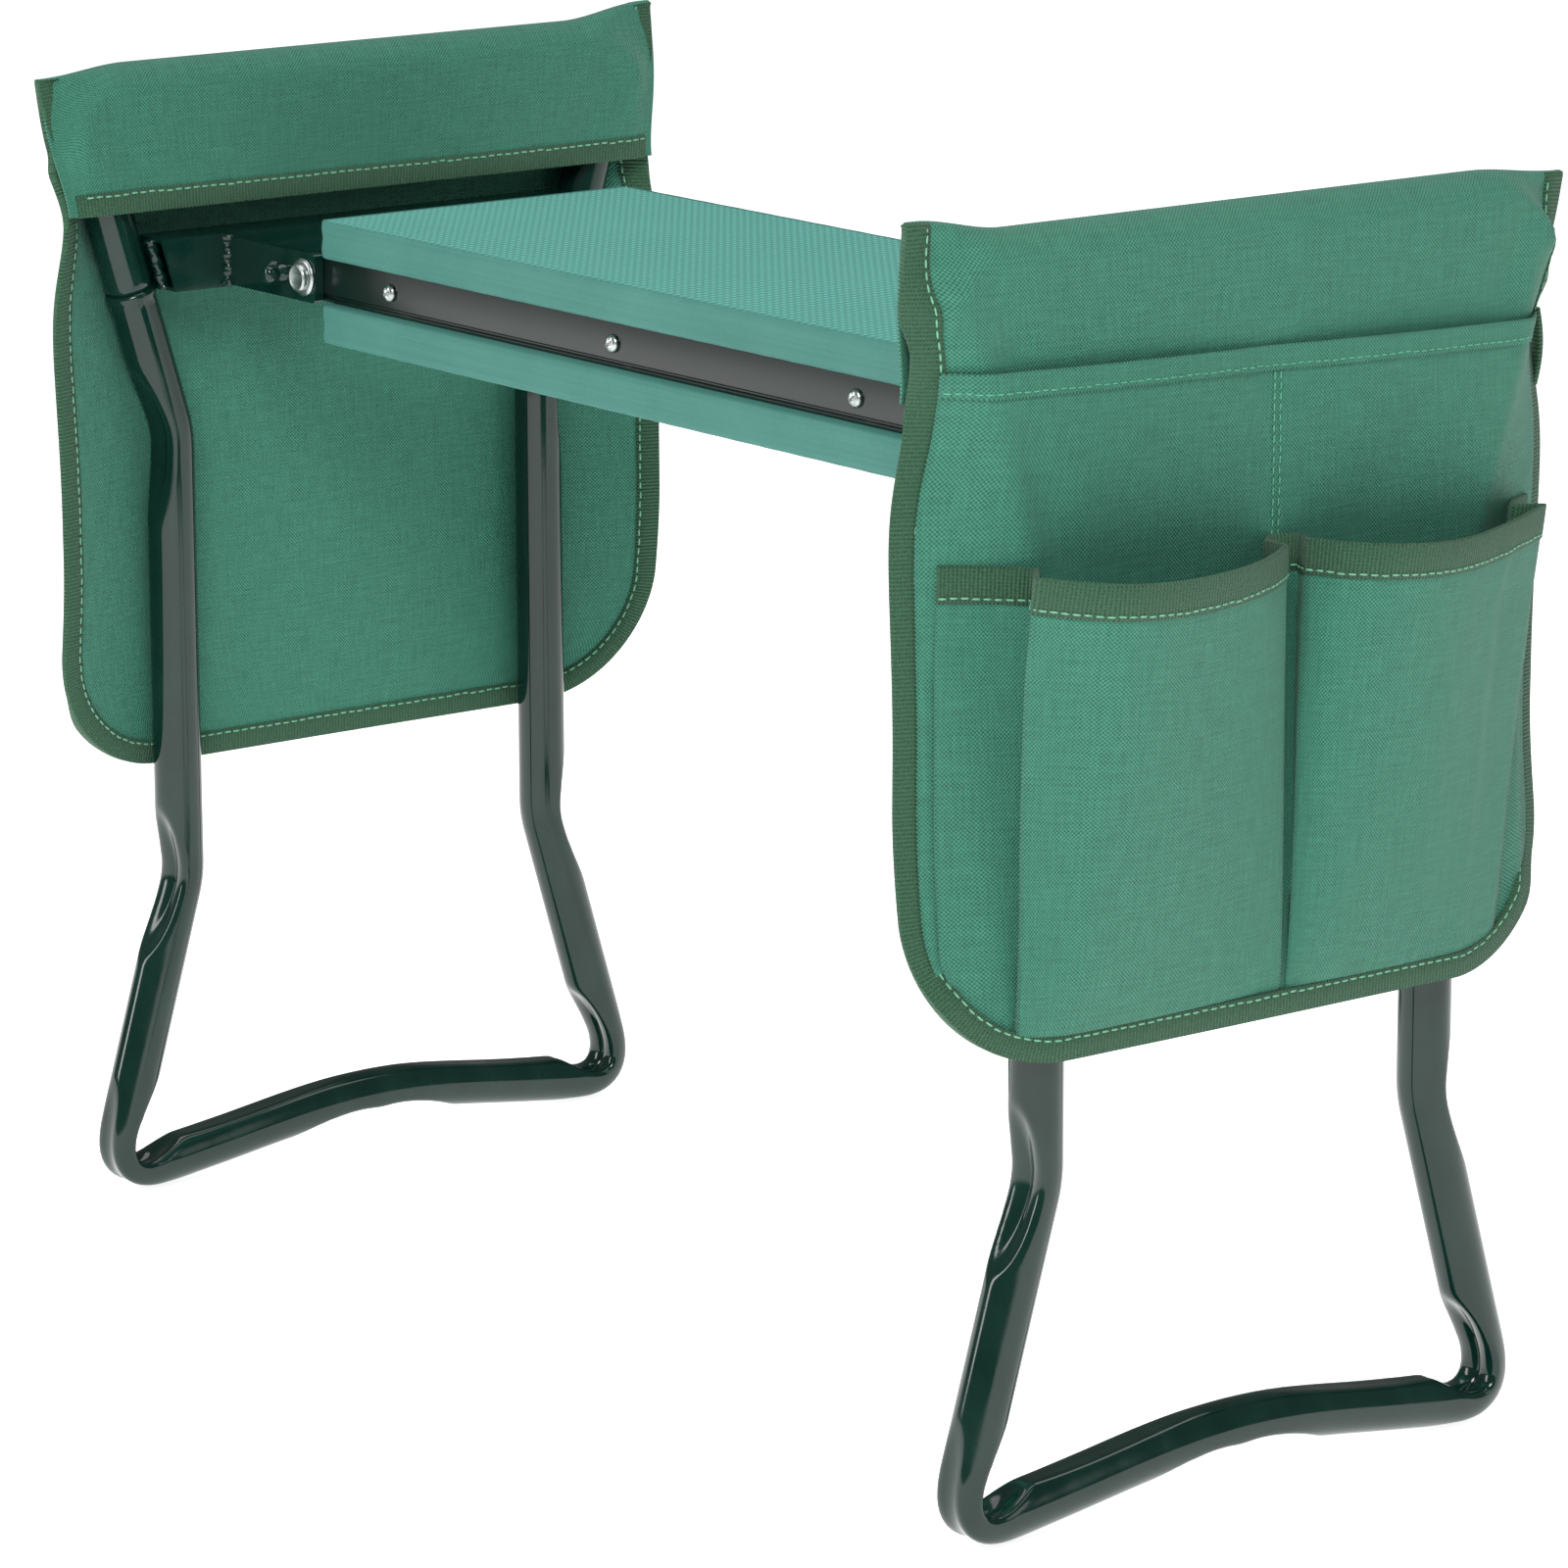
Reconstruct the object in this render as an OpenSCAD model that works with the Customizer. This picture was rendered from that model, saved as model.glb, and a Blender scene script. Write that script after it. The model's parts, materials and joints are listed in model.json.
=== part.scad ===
// Garden kneeler seat: a two-sided foam seat on two folding tube loops, with a fabric tool pouch on each loop.
// The origin is on the floor under the middle of the seat. +X runs along the seat, +Z is up.

/* [Seat] */
// Length of each foam pad
pad_length = 389; // [340:1:420]
// Width of each foam pad
pad_width = 153; // [140:1:170]
// Thickness of each foam pad
pad_thickness = 15.8; // [12:0.1:22]
// Radius of the pad corners, seen from above
pad_corner_r = 4; // [3:0.5:20]
// Height of the middle of the side rails above the floor
rail_mid_z = 393.7; // [386:0.1:401]
// Height of the side rails
rail_height = 19; // [17:0.5:20]
// Thickness of the side rails
rail_thickness = 3; // [2:0.5:4]
// Distance from the middle of the seat to the outer face of each rail
rail_face_y = 71; // [66:0.5:71]
// Thickness of the board between the pads
board_thickness = 18; // [15:0.5:18]

/* [Tube loops] */
// Distance from the middle of the seat to the middle plane of each loop
loop_x = 283; // [270:1:300]
// Outer diameter of the tube
tube_d = 20; // [18:0.5:22]
// Wall thickness of the tube
tube_wall = 1.2; // [1:0.1:2]
// Half the distance between the tubes at the waist, centre to centre
waist_half = 93; // [85:1:100]
// Height of the bend under the waist
waist_low_z = 133; // [111:1:151]
// Height of the bend above the waist
waist_high_z = 322; // [301:1:336]
// Outward run of the splayed tubes for each unit of height
splay = 0.293; // [0.2:0.01:0.35]
// Height of the middle of the grip bar at the top
grip_z = 461; // [446:1:471]
// Rise of the floor bar at its middle
arch_rise = 12; // [5:1:20]

/* [Fold hinge] */
// Distance from the middle of the seat to each hinge line
pivot_x = 207; // [206:0.5:210]
// Diameter of the hinge rivets
rivet_d = 8; // [6:0.5:9]
// Thickness of the hinge arms
arm_thickness = 4; // [3:0.5:4]
// Height of the hinge arms
arm_height = 20; // [18:0.5:20]
// Distance from the hinge line to the lock bar
lock_offset = 15; // [15:0.5:18]
// Diameter of the lock bar
lock_d = 7; // [5:0.5:7]
// Travel of the lock bar away from the hinge line
lock_travel = 8; // [4:0.5:10]

/* [Pouches] */
// Width of each pouch
pouch_width = 304; // [280:1:310]
// Height of each pouch, from the grip bar to its lower edge
pouch_height = 299; // [270:1:310]
// Radius of the lower pouch corners
pouch_corner_r = 56; // [40:1:70]
// Tilt of the pouches in their own plane, in degrees
pouch_tilt = -0.8; // [-1:0.1:0]
// Height of the upper edge of the flat pockets
flat_pocket_z = 420; // [406:1:420]
// Height of the upper edge of the gusseted pockets
gusset_pocket_z = 355; // [321:1:366]
// Width of the webbing that binds the edges
binding_width = 12; // [8:1:14]

/* [Hidden] */

GREEN_STEEL = [0.07, 0.23, 0.19];
DARK_STEEL = [0.04, 0.08, 0.07];
FOAM = [0.38, 0.66, 0.59];
ZINC = [0.75, 0.76, 0.78];
CLOTH = [0.27, 0.56, 0.45];
WEBBING = [0.20, 0.42, 0.29];
WOOD = [0.62, 0.50, 0.36];

tube_r = tube_d / 2;
tube_sides = 16;
bend_r = 45;
foot_bend_r = 15;
grip_bend_r = 30;
bend_steps = 5;
arch_steps = 14;
floor_z = tube_r;
foot_drop = 3.18;
foot_run = 34;
foot_half = waist_half + splay * (waist_low_z - floor_z + foot_drop);
grip_half = waist_half + splay * (grip_z - waist_high_z);
joint_z = rail_mid_z - arm_height / 2 - 1;
splay_angle = atan(splay);
spigot_clear = 0.2;
spigot_half = 25;

pad_gap = rail_height;
top_pad_z = rail_mid_z + pad_gap / 2;
bottom_pad_z = rail_mid_z - pad_gap / 2 - pad_thickness;
board_length = pad_length - 9;
side_gap = 0.3;
arm_y = rail_face_y + side_gap;
crossbar_in_x = loop_x - 19;
crossbar_depth = 20;
crossbar_height = 22;
crossbar_wall = 1.5;
rail_end_r = rail_height / 2;
screw_spacing = 151;
screw_r = 2;
screw_head_r = 3.6;
screw_length = 28;
run_clear = 0.05;
washer_t = 1;
head_r = 5.6;
head_t = 3;
rivet_tail = 3;
lock_reach = 9.5;
arm_end = 8;
arm_corner_r = 2.5;

cloth_x = loop_x + tube_r + 2;
cloth_t = 1.8;
flap_x = loop_x - tube_r - 2.2;
flap_low_z = 410;
fold_line_z = 427;
sleeve_top_z = grip_z + 2;
tilt_z = 477;
wedge_mid_z = 236;
tab_low_z = 396.5;
pocket_clear = 5.2;
pocket_x = cloth_x + cloth_t;
gusset_x = pocket_x + pocket_clear + 1.4;
pocket_low_z = tilt_z - pouch_height + binding_width;
outline_steps = 8;

// Points on an arc from angle a0 to angle a1
function arc(centre, r, a0, a1, steps) =
  [for (i = [0 : steps]) let (a = a0 + (a1 - a0) * i / steps) centre + r * [cos(a), sin(a)]];

// A rectangle from corner lo to corner hi with round corners, r[0] below and r[1] above
function round_box(lo, hi, r, steps) = concat(
  arc([hi[0] - r[1], hi[1] - r[1]], r[1], 0, 90, steps),
  arc([lo[0] + r[1], hi[1] - r[1]], r[1], 90, 180, steps),
  arc([lo[0] + r[0], lo[1] + r[0]], r[0], 180, 270, steps),
  arc([hi[0] - r[0], lo[1] + r[0]], r[0], 270, 360, steps));

function unit(v) = v / norm(v);

// The bend at corner b of the line a-b-c, as points on a curve that starts and ends r * tan(half turn) away
function bend(a, b, c, r) =
  let (u = unit(a - b), v = unit(c - b), half = acos(u * v) / 2, back = r / tan(half))
  [for (i = [0 : bend_steps]) let (t = i / bend_steps)
    b + back * (pow(1 - t, 2) * u + pow(t, 2) * v)];

// One leg of a loop as [y, z] points, from the splice under the crossbar to the floor bar
foot_corner = [foot_half, floor_z - foot_drop];
arch_edge = [foot_half - foot_run, floor_z + arch_rise * arch_shape((foot_half - foot_run) / foot_half)];
function arch_shape(t) = 0.5 + 0.5 * cos(180 * t);
function leg_y(z) = waist_half + splay * max(0, z - waist_high_z);
lower_leg = concat(
  [[leg_y(joint_z), joint_z]],
  bend([leg_y(joint_z), joint_z], [waist_half, waist_high_z], [waist_half, waist_low_z], bend_r),
  bend([waist_half, waist_high_z], [waist_half, waist_low_z], foot_corner, bend_r),
  bend([waist_half, waist_low_z], foot_corner, arch_edge, foot_bend_r));
floor_arch = [for (i = [1 : arch_steps - 1]) let (y = (foot_half - foot_run) * (1 - 2 * i / arch_steps))
  [y, floor_z + arch_rise * arch_shape(abs(y) / foot_half)]];
upper_leg = concat(
  [[leg_y(joint_z), joint_z + 0.2]],
  bend([leg_y(joint_z), joint_z], [grip_half, grip_z], [0, grip_z], grip_bend_r));
function other_side(path) = [for (i = [len(path) - 1 : -1 : 0]) [-path[i][0], path[i][1]]];

// Direction of a path at point i
function heading(path, i) = unit(path[min(i + 1, len(path) - 1)] - path[max(i - 1, 0)]);

// A hollow round tube along a path in the YZ plane
module tube(path, r_out, r_in) {
  n = tube_sides;
  rings = len(path);
  function ring(i, r) = let (h = heading(path, i), side = [-h[1], h[0]])
    [for (k = [0 : n - 1]) let (a = 360 * k / n)
      [r * cos(a), path[i][0] + r * sin(a) * side[0], path[i][1] + r * sin(a) * side[1]]];
  points = concat(
    [for (i = [0 : rings - 1]) each ring(i, r_out)],
    [for (i = [0 : rings - 1]) each ring(i, r_in)]);
  inner = rings * n;
  function at(base, i, k) = base + i * n + k % n;
  faces = concat(
    [for (i = [0 : rings - 2], k = [0 : n - 1]) each [
      [at(0, i, k), at(0, i, k + 1), at(0, i + 1, k + 1), at(0, i + 1, k)],
      [at(inner, i, k), at(inner, i + 1, k), at(inner, i + 1, k + 1), at(inner, i, k + 1)]]],
    [for (k = [0 : n - 1]) each [
      [at(0, 0, k), at(inner, 0, k), at(inner, 0, k + 1), at(0, 0, k + 1)],
      [at(0, rings - 1, k), at(0, rings - 1, k + 1), at(inner, rings - 1, k + 1), at(inner, rings - 1, k)]]]);
  polyhedron(points, faces, convexity = 6);
}

// Turns a right-hand piece half round to make the left-hand one
module side(name) {
  rotate([0, 0, name == "left" ? 180 : 0]) children();
}

// A cylinder along +Y that starts at y0
module rod_y(x, y0, z, r, length, sides = 48) {
  translate([x, y0, z]) rotate([-90, 0, 0]) cylinder(r = r, h = length, $fn = sides);
}

// A plate in the YZ plane, x0 to x0 + thickness, drawn as a [y, z] outline, tilted with the pouch
module cloth_plate(x0, thickness) {
  translate([0, 0, tilt_z]) rotate([pouch_tilt, 0, 0]) translate([x0, 0, -tilt_z])
    rotate([90, 0, 90]) linear_extrude(thickness) children();
}

module foam_pad(z) {
  color(FOAM) translate([0, 0, z]) linear_extrude(pad_thickness)
    polygon(round_box([-pad_length / 2, -pad_width / 2], [pad_length / 2, pad_width / 2],
      [pad_corner_r, pad_corner_r], outline_steps));
}

module top_pad() { foam_pad(top_pad_z); }
module bottom_pad() { foam_pad(bottom_pad_z); }

module seat_board() {
  color(WOOD) difference() {
    translate([-board_length / 2, -rail_face_y + rail_thickness, rail_mid_z - board_thickness / 2])
      cube([board_length, 2 * (rail_face_y - rail_thickness), board_thickness]);
    for (i = [-1 : 1], s = [-1, 1])
      rod_y(i * screw_spacing, s > 0 ? rail_face_y - screw_length : -rail_face_y, rail_mid_z,
        screw_r, screw_length);
  }
}

// One flat steel side rail with round ends, pierced for the rivets and the screws
module rail(y0) {
  color(DARK_STEEL) difference() {
    union() {
      translate([-pivot_x, y0, rail_mid_z - rail_height / 2]) cube([2 * pivot_x, rail_thickness, rail_height]);
      for (s = [-1, 1]) rod_y(s * pivot_x, y0, rail_mid_z, rail_end_r, rail_thickness, 64);
    }
    for (s = [-1, 1]) rod_y(s * pivot_x, y0 - 1, rail_mid_z, rivet_d / 2, rail_thickness + 2);
    for (i = [-1 : 1]) rod_y(i * screw_spacing, y0 - 1, rail_mid_z, screw_r, rail_thickness + 2);
  }
}

module front_rail() { rail(-rail_face_y); }
module back_rail() { rail(rail_face_y - rail_thickness); }

module rail_screws() {
  color(ZINC) for (i = [-1 : 1], s = [-1, 1]) {
    rod_y(i * screw_spacing, s > 0 ? rail_face_y - screw_length : -rail_face_y, rail_mid_z,
      screw_r, screw_length, 32);
    rod_y(i * screw_spacing, s > 0 ? rail_face_y : -rail_face_y - 2.4, rail_mid_z, screw_head_r, 2.4, 32);
  }
}

module lower_loop() {
  color(GREEN_STEEL) translate([loop_x, 0, 0])
    tube(concat(lower_leg, floor_arch, other_side(lower_leg)), tube_r, tube_r - tube_wall);
}

module upper_loop() {
  color(GREEN_STEEL) translate([loop_x, 0, 0])
    tube(concat(upper_leg, other_side(upper_leg)), tube_r, tube_r - tube_wall);
}

// Short tubes inside the splices between the two loops
module spigots() {
  r = (tube_r - tube_wall) * cos(180 / tube_sides) - spigot_clear;
  color(DARK_STEEL) for (s = [-1, 1])
    translate([loop_x, s * leg_y(joint_z), joint_z]) rotate([-s * splay_angle, 0, 0])
      difference() {
        cylinder(r = r, h = 2 * spigot_half, center = true, $fn = 32);
        cylinder(r = r - 1.4, h = 2 * spigot_half + 2, center = true, $fn = 32);
      }
}

// Outline of the crossbar in [y, z], with ends cut along the splayed tubes
function crossbar_outline(wall) =
  let (lo = rail_mid_z - crossbar_height / 2 + wall, hi = rail_mid_z + crossbar_height / 2 - wall,
    off = (tube_r + 0.15) / cos(splay_angle))
  [[leg_y(lo) - off, lo], [leg_y(hi) - off, hi], [-leg_y(hi) + off, hi], [-leg_y(lo) + off, lo]];

module crossbar() {
  color(GREEN_STEEL) difference() {
    translate([crossbar_in_x, 0, 0]) rotate([90, 0, 90]) linear_extrude(crossbar_depth)
      polygon(crossbar_outline(0));
    translate([crossbar_in_x + crossbar_wall, 0, 0]) rotate([90, 0, 90])
      linear_extrude(crossbar_depth - 2 * crossbar_wall)
        scale([1.2, 1]) polygon(crossbar_outline(crossbar_wall));
  }
}

// One flat hinge arm with small round corners, the rivet hole and the slot for the lock bar
module arm(y0) {
  slot_x = pivot_x + lock_offset;
  slot_r = lock_d / 2 + 0.3;
  color(GREEN_STEEL) difference() {
    translate([0, y0 + arm_thickness, rail_mid_z]) rotate([90, 0, 0]) linear_extrude(arm_thickness)
      polygon(round_box([pivot_x - arm_end, -arm_height / 2], [crossbar_in_x, arm_height / 2],
        [arm_corner_r, arm_corner_r], outline_steps));
    rod_y(pivot_x, y0 - 1, rail_mid_z, rivet_d / 2 + run_clear, arm_thickness + 2);
    for (x = [slot_x, slot_x + lock_travel]) rod_y(x, y0 - 1, rail_mid_z, slot_r, arm_thickness + 2);
    translate([slot_x, y0 - 1, rail_mid_z - slot_r]) cube([lock_travel, arm_thickness + 2, 2 * slot_r]);
  }
}

// Beads of weld along the crossbar ends and where the arms meet the crossbar
module weld_beads() {
  bead_r = 1.8;
  color(GREEN_STEEL) {
    for (s = [-1, 1], x = [crossbar_in_x + 9, crossbar_in_x + crossbar_depth])
      translate([x, s * (leg_y(rail_mid_z) - (tube_r + 0.5) / cos(splay_angle)), rail_mid_z])
        rotate([-s * splay_angle, 0, 0])
          cylinder(r = bead_r, h = crossbar_height - 2, center = true, $fn = 16);
    for (s = [-1, 1])
      translate([crossbar_in_x, s * arm_y, rail_mid_z])
        cylinder(r = bead_r, h = arm_height - 2, center = true, $fn = 16);
  }
}

module lock_bar() {
  y_end = arm_y + arm_thickness + lock_reach;
  color(ZINC) rod_y(pivot_x + lock_offset, -y_end, rail_mid_z, lock_d / 2, 2 * y_end);
}

module pivot_rivets() {
  washer_y = arm_y + arm_thickness + 0.1 + washer_t;
  color(ZINC) for (s = [-1, 1]) translate([pivot_x, 0, rail_mid_z])
    rotate([s > 0 ? -90 : 90, 0, 0]) {
      translate([0, 0, rail_face_y - rail_thickness])
        cylinder(r = rivet_d / 2, h = washer_y - rail_face_y + rail_thickness, $fn = 48);
      translate([0, 0, washer_y]) cylinder(r1 = head_r, r2 = head_r - 1.6, h = head_t, $fn = 48);
      translate([0, 0, rail_face_y - rail_thickness - rivet_tail])
        cylinder(r = head_r, h = rivet_tail, $fn = 48);
    }
}

module pivot_washers() {
  color(ZINC) for (s = [-1, 1]) translate([pivot_x, 0, rail_mid_z]) rotate([s > 0 ? -90 : 90, 0, 0])
    translate([0, 0, arm_y + arm_thickness + 0.05]) difference() {
      cylinder(r = head_r + 2, h = washer_t, $fn = 48);
      translate([0, 0, -1]) cylinder(r = rivet_d / 2, h = washer_t + 2, $fn = 48);
    }
}

// The cloth over the grip bar: a long flap inside, a short one outside, drawn as an [x, z] outline
module sleeve() {
  mid = [(flap_x + cloth_x) / 2, sleeve_top_z];
  r_in = (cloth_x - flap_x) / 2;
  outline = concat(
    [[cloth_x, fold_line_z]], arc(mid, r_in, 0, 180, 12), [[flap_x, flap_low_z]],
    [[flap_x - cloth_t, flap_low_z]], arc(mid, r_in + cloth_t, 180, 0, 12), [[cloth_x + cloth_t, fold_line_z]]);
  half = pouch_width / 2 - 2.5;
  color(CLOTH) translate([0, 0, tilt_z]) rotate([pouch_tilt, 0, 0]) translate([0, half, -tilt_z])
    rotate([90, 0, 0]) linear_extrude(2 * half) polygon(outline);
}

// Webbing that closes the two ends of the sleeve
module sleeve_binding() {
  lo = [flap_x - cloth_t, fold_line_z];
  hi = [cloth_x + cloth_t, sleeve_top_z + 14];
  color(WEBBING) for (s = [-1, 1])
    translate([0, 0, tilt_z]) rotate([pouch_tilt, 0, 0])
      translate([lo[0], s > 0 ? pouch_width / 2 - 2.4 : -pouch_width / 2, lo[1] - tilt_z])
        cube([hi[0] - lo[0], 2.4, hi[1] - lo[1] - 8]);
}

module flap_binding() {
  color(WEBBING) cloth_plate(flap_x - cloth_t - 0.8, 0.8)
    translate([-pouch_width / 2 + 3, flap_low_z]) square([pouch_width - 6, binding_width - 2]);
}

// Outline of the hanging part of a pouch, in [y, z]
module pouch_outline(inset) {
  polygon(round_box([-pouch_width / 2 + inset, tilt_z - pouch_height + inset],
    [pouch_width / 2 - inset, flat_pocket_z - (inset > 0 ? 0 : -0.5)],
    [pouch_corner_r - inset, 2], outline_steps));
}

module pouch_panel() {
  color(CLOTH) cloth_plate(cloth_x, cloth_t) pouch_outline(3);
}

module pouch_binding() {
  color(WEBBING) cloth_plate(cloth_x - 0.4, cloth_t + 1.4) difference() {
    pouch_outline(0);
    pouch_outline(2.9);
  }
}

// A flat pocket across the pouch, open at the top and stitched down its middle
module flat_pocket() {
  inset = 5;
  color(CLOTH) difference() {
    cloth_plate(pocket_x, pocket_clear + 1.4) pouch_outline(inset);
    for (s = [-1, 1]) cloth_plate(pocket_x - 1, pocket_clear + 1)
      translate([s > 0 ? 5 : -pouch_width / 2 + inset + 2, pocket_low_z + 60])
        square([pouch_width / 2 - inset - 7, pouch_height]);
    for (s = [-1, 1]) cloth_plate(pocket_x - 1, pocket_clear + 1)
      translate([s > 0 ? 5 : -pouch_width / 2 + 50, pocket_low_z])
        square([pouch_width / 2 - 55, pouch_height]);
  }
}

// Plan of the two gusseted pockets as [out, y] points
WIDE_PLAN = [[0, -146], [30, -130], [40, -95], [44, -66], [36, -35], [14, -7], [0, -4]];
NARROW_PLAN = [[0, 5], [4, 9], [18, 40], [25, 76], [24, 110], [19, 136], [0, 146]];

// A wedge of the given plan: full depth at its top, nearly flat at its foot
module wedge(plan, inset, z_top, z_low) {
  mid = (plan[0][1] + plan[len(plan) - 1][1]) / 2;
  translate([0, 0, tilt_z]) rotate([pouch_tilt, 0, 0]) translate([gusset_x, 0, -tilt_z]) hull() {
    translate([0, 0, z_top - 0.1]) linear_extrude(0.1) offset(delta = -inset) polygon(plan);
    translate([0, 0, wedge_mid_z]) linear_extrude(0.1) offset(delta = -inset) scale([0.62, 1]) polygon(plan);
    translate([0, mid * 0.22, z_low]) linear_extrude(0.1) offset(delta = -inset * 0.8)
      scale([0.2, 0.78]) polygon(plan);
  }
}

module gusset_pocket() {
  color(CLOTH) for (plan = [WIDE_PLAN, NARROW_PLAN]) difference() {
    wedge(plan, 0, gusset_pocket_z, pocket_low_z + 1);
    wedge(plan, 1.6, gusset_pocket_z + 0.5, pocket_low_z + 6);
  }
}

module pocket_binding() {
  color(WEBBING) for (plan = [WIDE_PLAN, NARROW_PLAN])
    translate([0, 0, tilt_z]) rotate([pouch_tilt, 0, 0]) translate([gusset_x, 0, gusset_pocket_z - tilt_z])
      translate([0, 0, 0.3]) linear_extrude(1.2) intersection() {
        difference() {
          offset(delta = 0.6) polygon(plan);
          offset(delta = -2) polygon(plan);
        }
        translate([1, -200]) square([100, 400]);
      }
}

// A small loop of webbing at one edge of the pouch
module webbing_tab() {
  color(WEBBING) cloth_plate(cloth_x - 0.2, 2.2) difference() {
    translate([pouch_width / 2 + 0.2, tab_low_z]) square([3.1, 27]);
    translate([pouch_width / 2 + 1.2, tab_low_z + 1.6]) square([1.1, 23.8]);
  }
}

top_pad();
bottom_pad();
front_rail();
back_rail();
seat_board();
rail_screws();
for (s = ["left", "right"]) side(s) {
  lower_loop();
  upper_loop();
  spigots();
  crossbar();
  arm(s == "left" ? arm_y : -arm_y - arm_thickness);
  arm(s == "left" ? -arm_y - arm_thickness : arm_y);
  weld_beads();
  lock_bar();
  pivot_rivets();
  pivot_washers();
  sleeve();
  sleeve_binding();
  flap_binding();
  pouch_panel();
  flat_pocket();
  gusset_pocket();
  pouch_binding();
  pocket_binding();
}
webbing_tab();  // right_webbing_tab
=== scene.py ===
import json
import math

import bpy
import numpy as np
from mathutils import Matrix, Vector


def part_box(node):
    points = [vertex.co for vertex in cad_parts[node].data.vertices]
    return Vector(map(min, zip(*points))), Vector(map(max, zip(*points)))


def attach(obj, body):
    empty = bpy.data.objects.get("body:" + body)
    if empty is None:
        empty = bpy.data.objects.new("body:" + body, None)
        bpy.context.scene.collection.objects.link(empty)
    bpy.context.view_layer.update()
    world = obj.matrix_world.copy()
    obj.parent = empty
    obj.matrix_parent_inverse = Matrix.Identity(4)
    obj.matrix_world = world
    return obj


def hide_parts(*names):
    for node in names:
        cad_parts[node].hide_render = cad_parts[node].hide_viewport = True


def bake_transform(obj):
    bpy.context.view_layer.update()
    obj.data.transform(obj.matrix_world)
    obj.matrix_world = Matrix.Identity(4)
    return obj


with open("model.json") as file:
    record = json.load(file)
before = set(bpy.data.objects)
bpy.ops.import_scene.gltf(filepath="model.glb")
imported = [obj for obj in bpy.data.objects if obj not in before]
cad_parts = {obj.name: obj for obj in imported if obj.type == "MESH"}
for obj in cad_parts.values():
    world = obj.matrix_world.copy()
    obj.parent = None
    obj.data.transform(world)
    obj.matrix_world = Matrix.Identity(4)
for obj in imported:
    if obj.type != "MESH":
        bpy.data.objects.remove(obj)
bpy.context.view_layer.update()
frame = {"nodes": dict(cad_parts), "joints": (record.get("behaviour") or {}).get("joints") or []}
NODES = frame["nodes"]

# ---------------- sizes, in metres, in the frame of the CAD model
LOOP_LOW, LOOP_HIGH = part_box("right_lower_loop")
LOOP_X = (LOOP_LOW.x + LOOP_HIGH.x) / 2
TUBE_R = (LOOP_HIGH.x - LOOP_LOW.x) / 2
WAIST_HALF = 0.093
WAIST_LOW_Z, WAIST_HIGH_Z = 0.133, 0.322
SPLAY = 0.293
GRIP_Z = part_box("right_upper_loop")[1].z - TUBE_R
ARCH_RISE = 0.012
FLOOR_Z = TUBE_R
FOOT_DROP, FOOT_RUN = 0.00318, 0.034
FOOT_HALF = WAIST_HALF + SPLAY * (WAIST_LOW_Z - FLOOR_Z + FOOT_DROP)
GRIP_HALF = WAIST_HALF + SPLAY * (GRIP_Z - WAIST_HIGH_Z)
JOINT_Z = LOOP_HIGH.z - TUBE_R * math.sin(math.atan(SPLAY))

PAD_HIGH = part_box("top_pad")[1]
RAIL_LOW, RAIL_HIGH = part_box("front_rail")
RAIL_MID_Z = (RAIL_LOW.z + RAIL_HIGH.z) / 2
PIVOT_X = [j for j in frame["joints"] if j["name"] == "right_leg_fold"][0]["pos_m"][0]

HALF_WIDTH = 0.152
PANEL_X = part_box("right_pouch_panel")[0].x - 0.0003
POUCH_LOW_Z = 0.1800
FLAP_Z = 0.4165
HEM_Z = 0.423
GUSSET_Z = 0.355
CLOTH_T = 0.0011
WEB_T = 0.0013
DOT_X, DOT_Y = 0.0044, 0.0033
WEB_W = 0.0092
FOLD_START, FOLD_END = 0.438, 0.415
LEAN_TOP_Z = 0.477
HANG_Z = 0.391
WAVE_TOP_Z = 0.351
STRIP_BEND_Z = 0.231
CORNER_R = 0.056
RUNNING_STITCH = (0.0038, 0.0027, 0.00032)
UV_SHIFT = 0.31

SIDES = {"right": 1, "left": -1}
rng = np.random.default_rng(7)


def smooth(t):
    t = np.clip(t, 0.0, 1.0)
    return t * t * (3 - 2 * t)


def mix(a, b, t):
    return a + (b - a) * t


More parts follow.
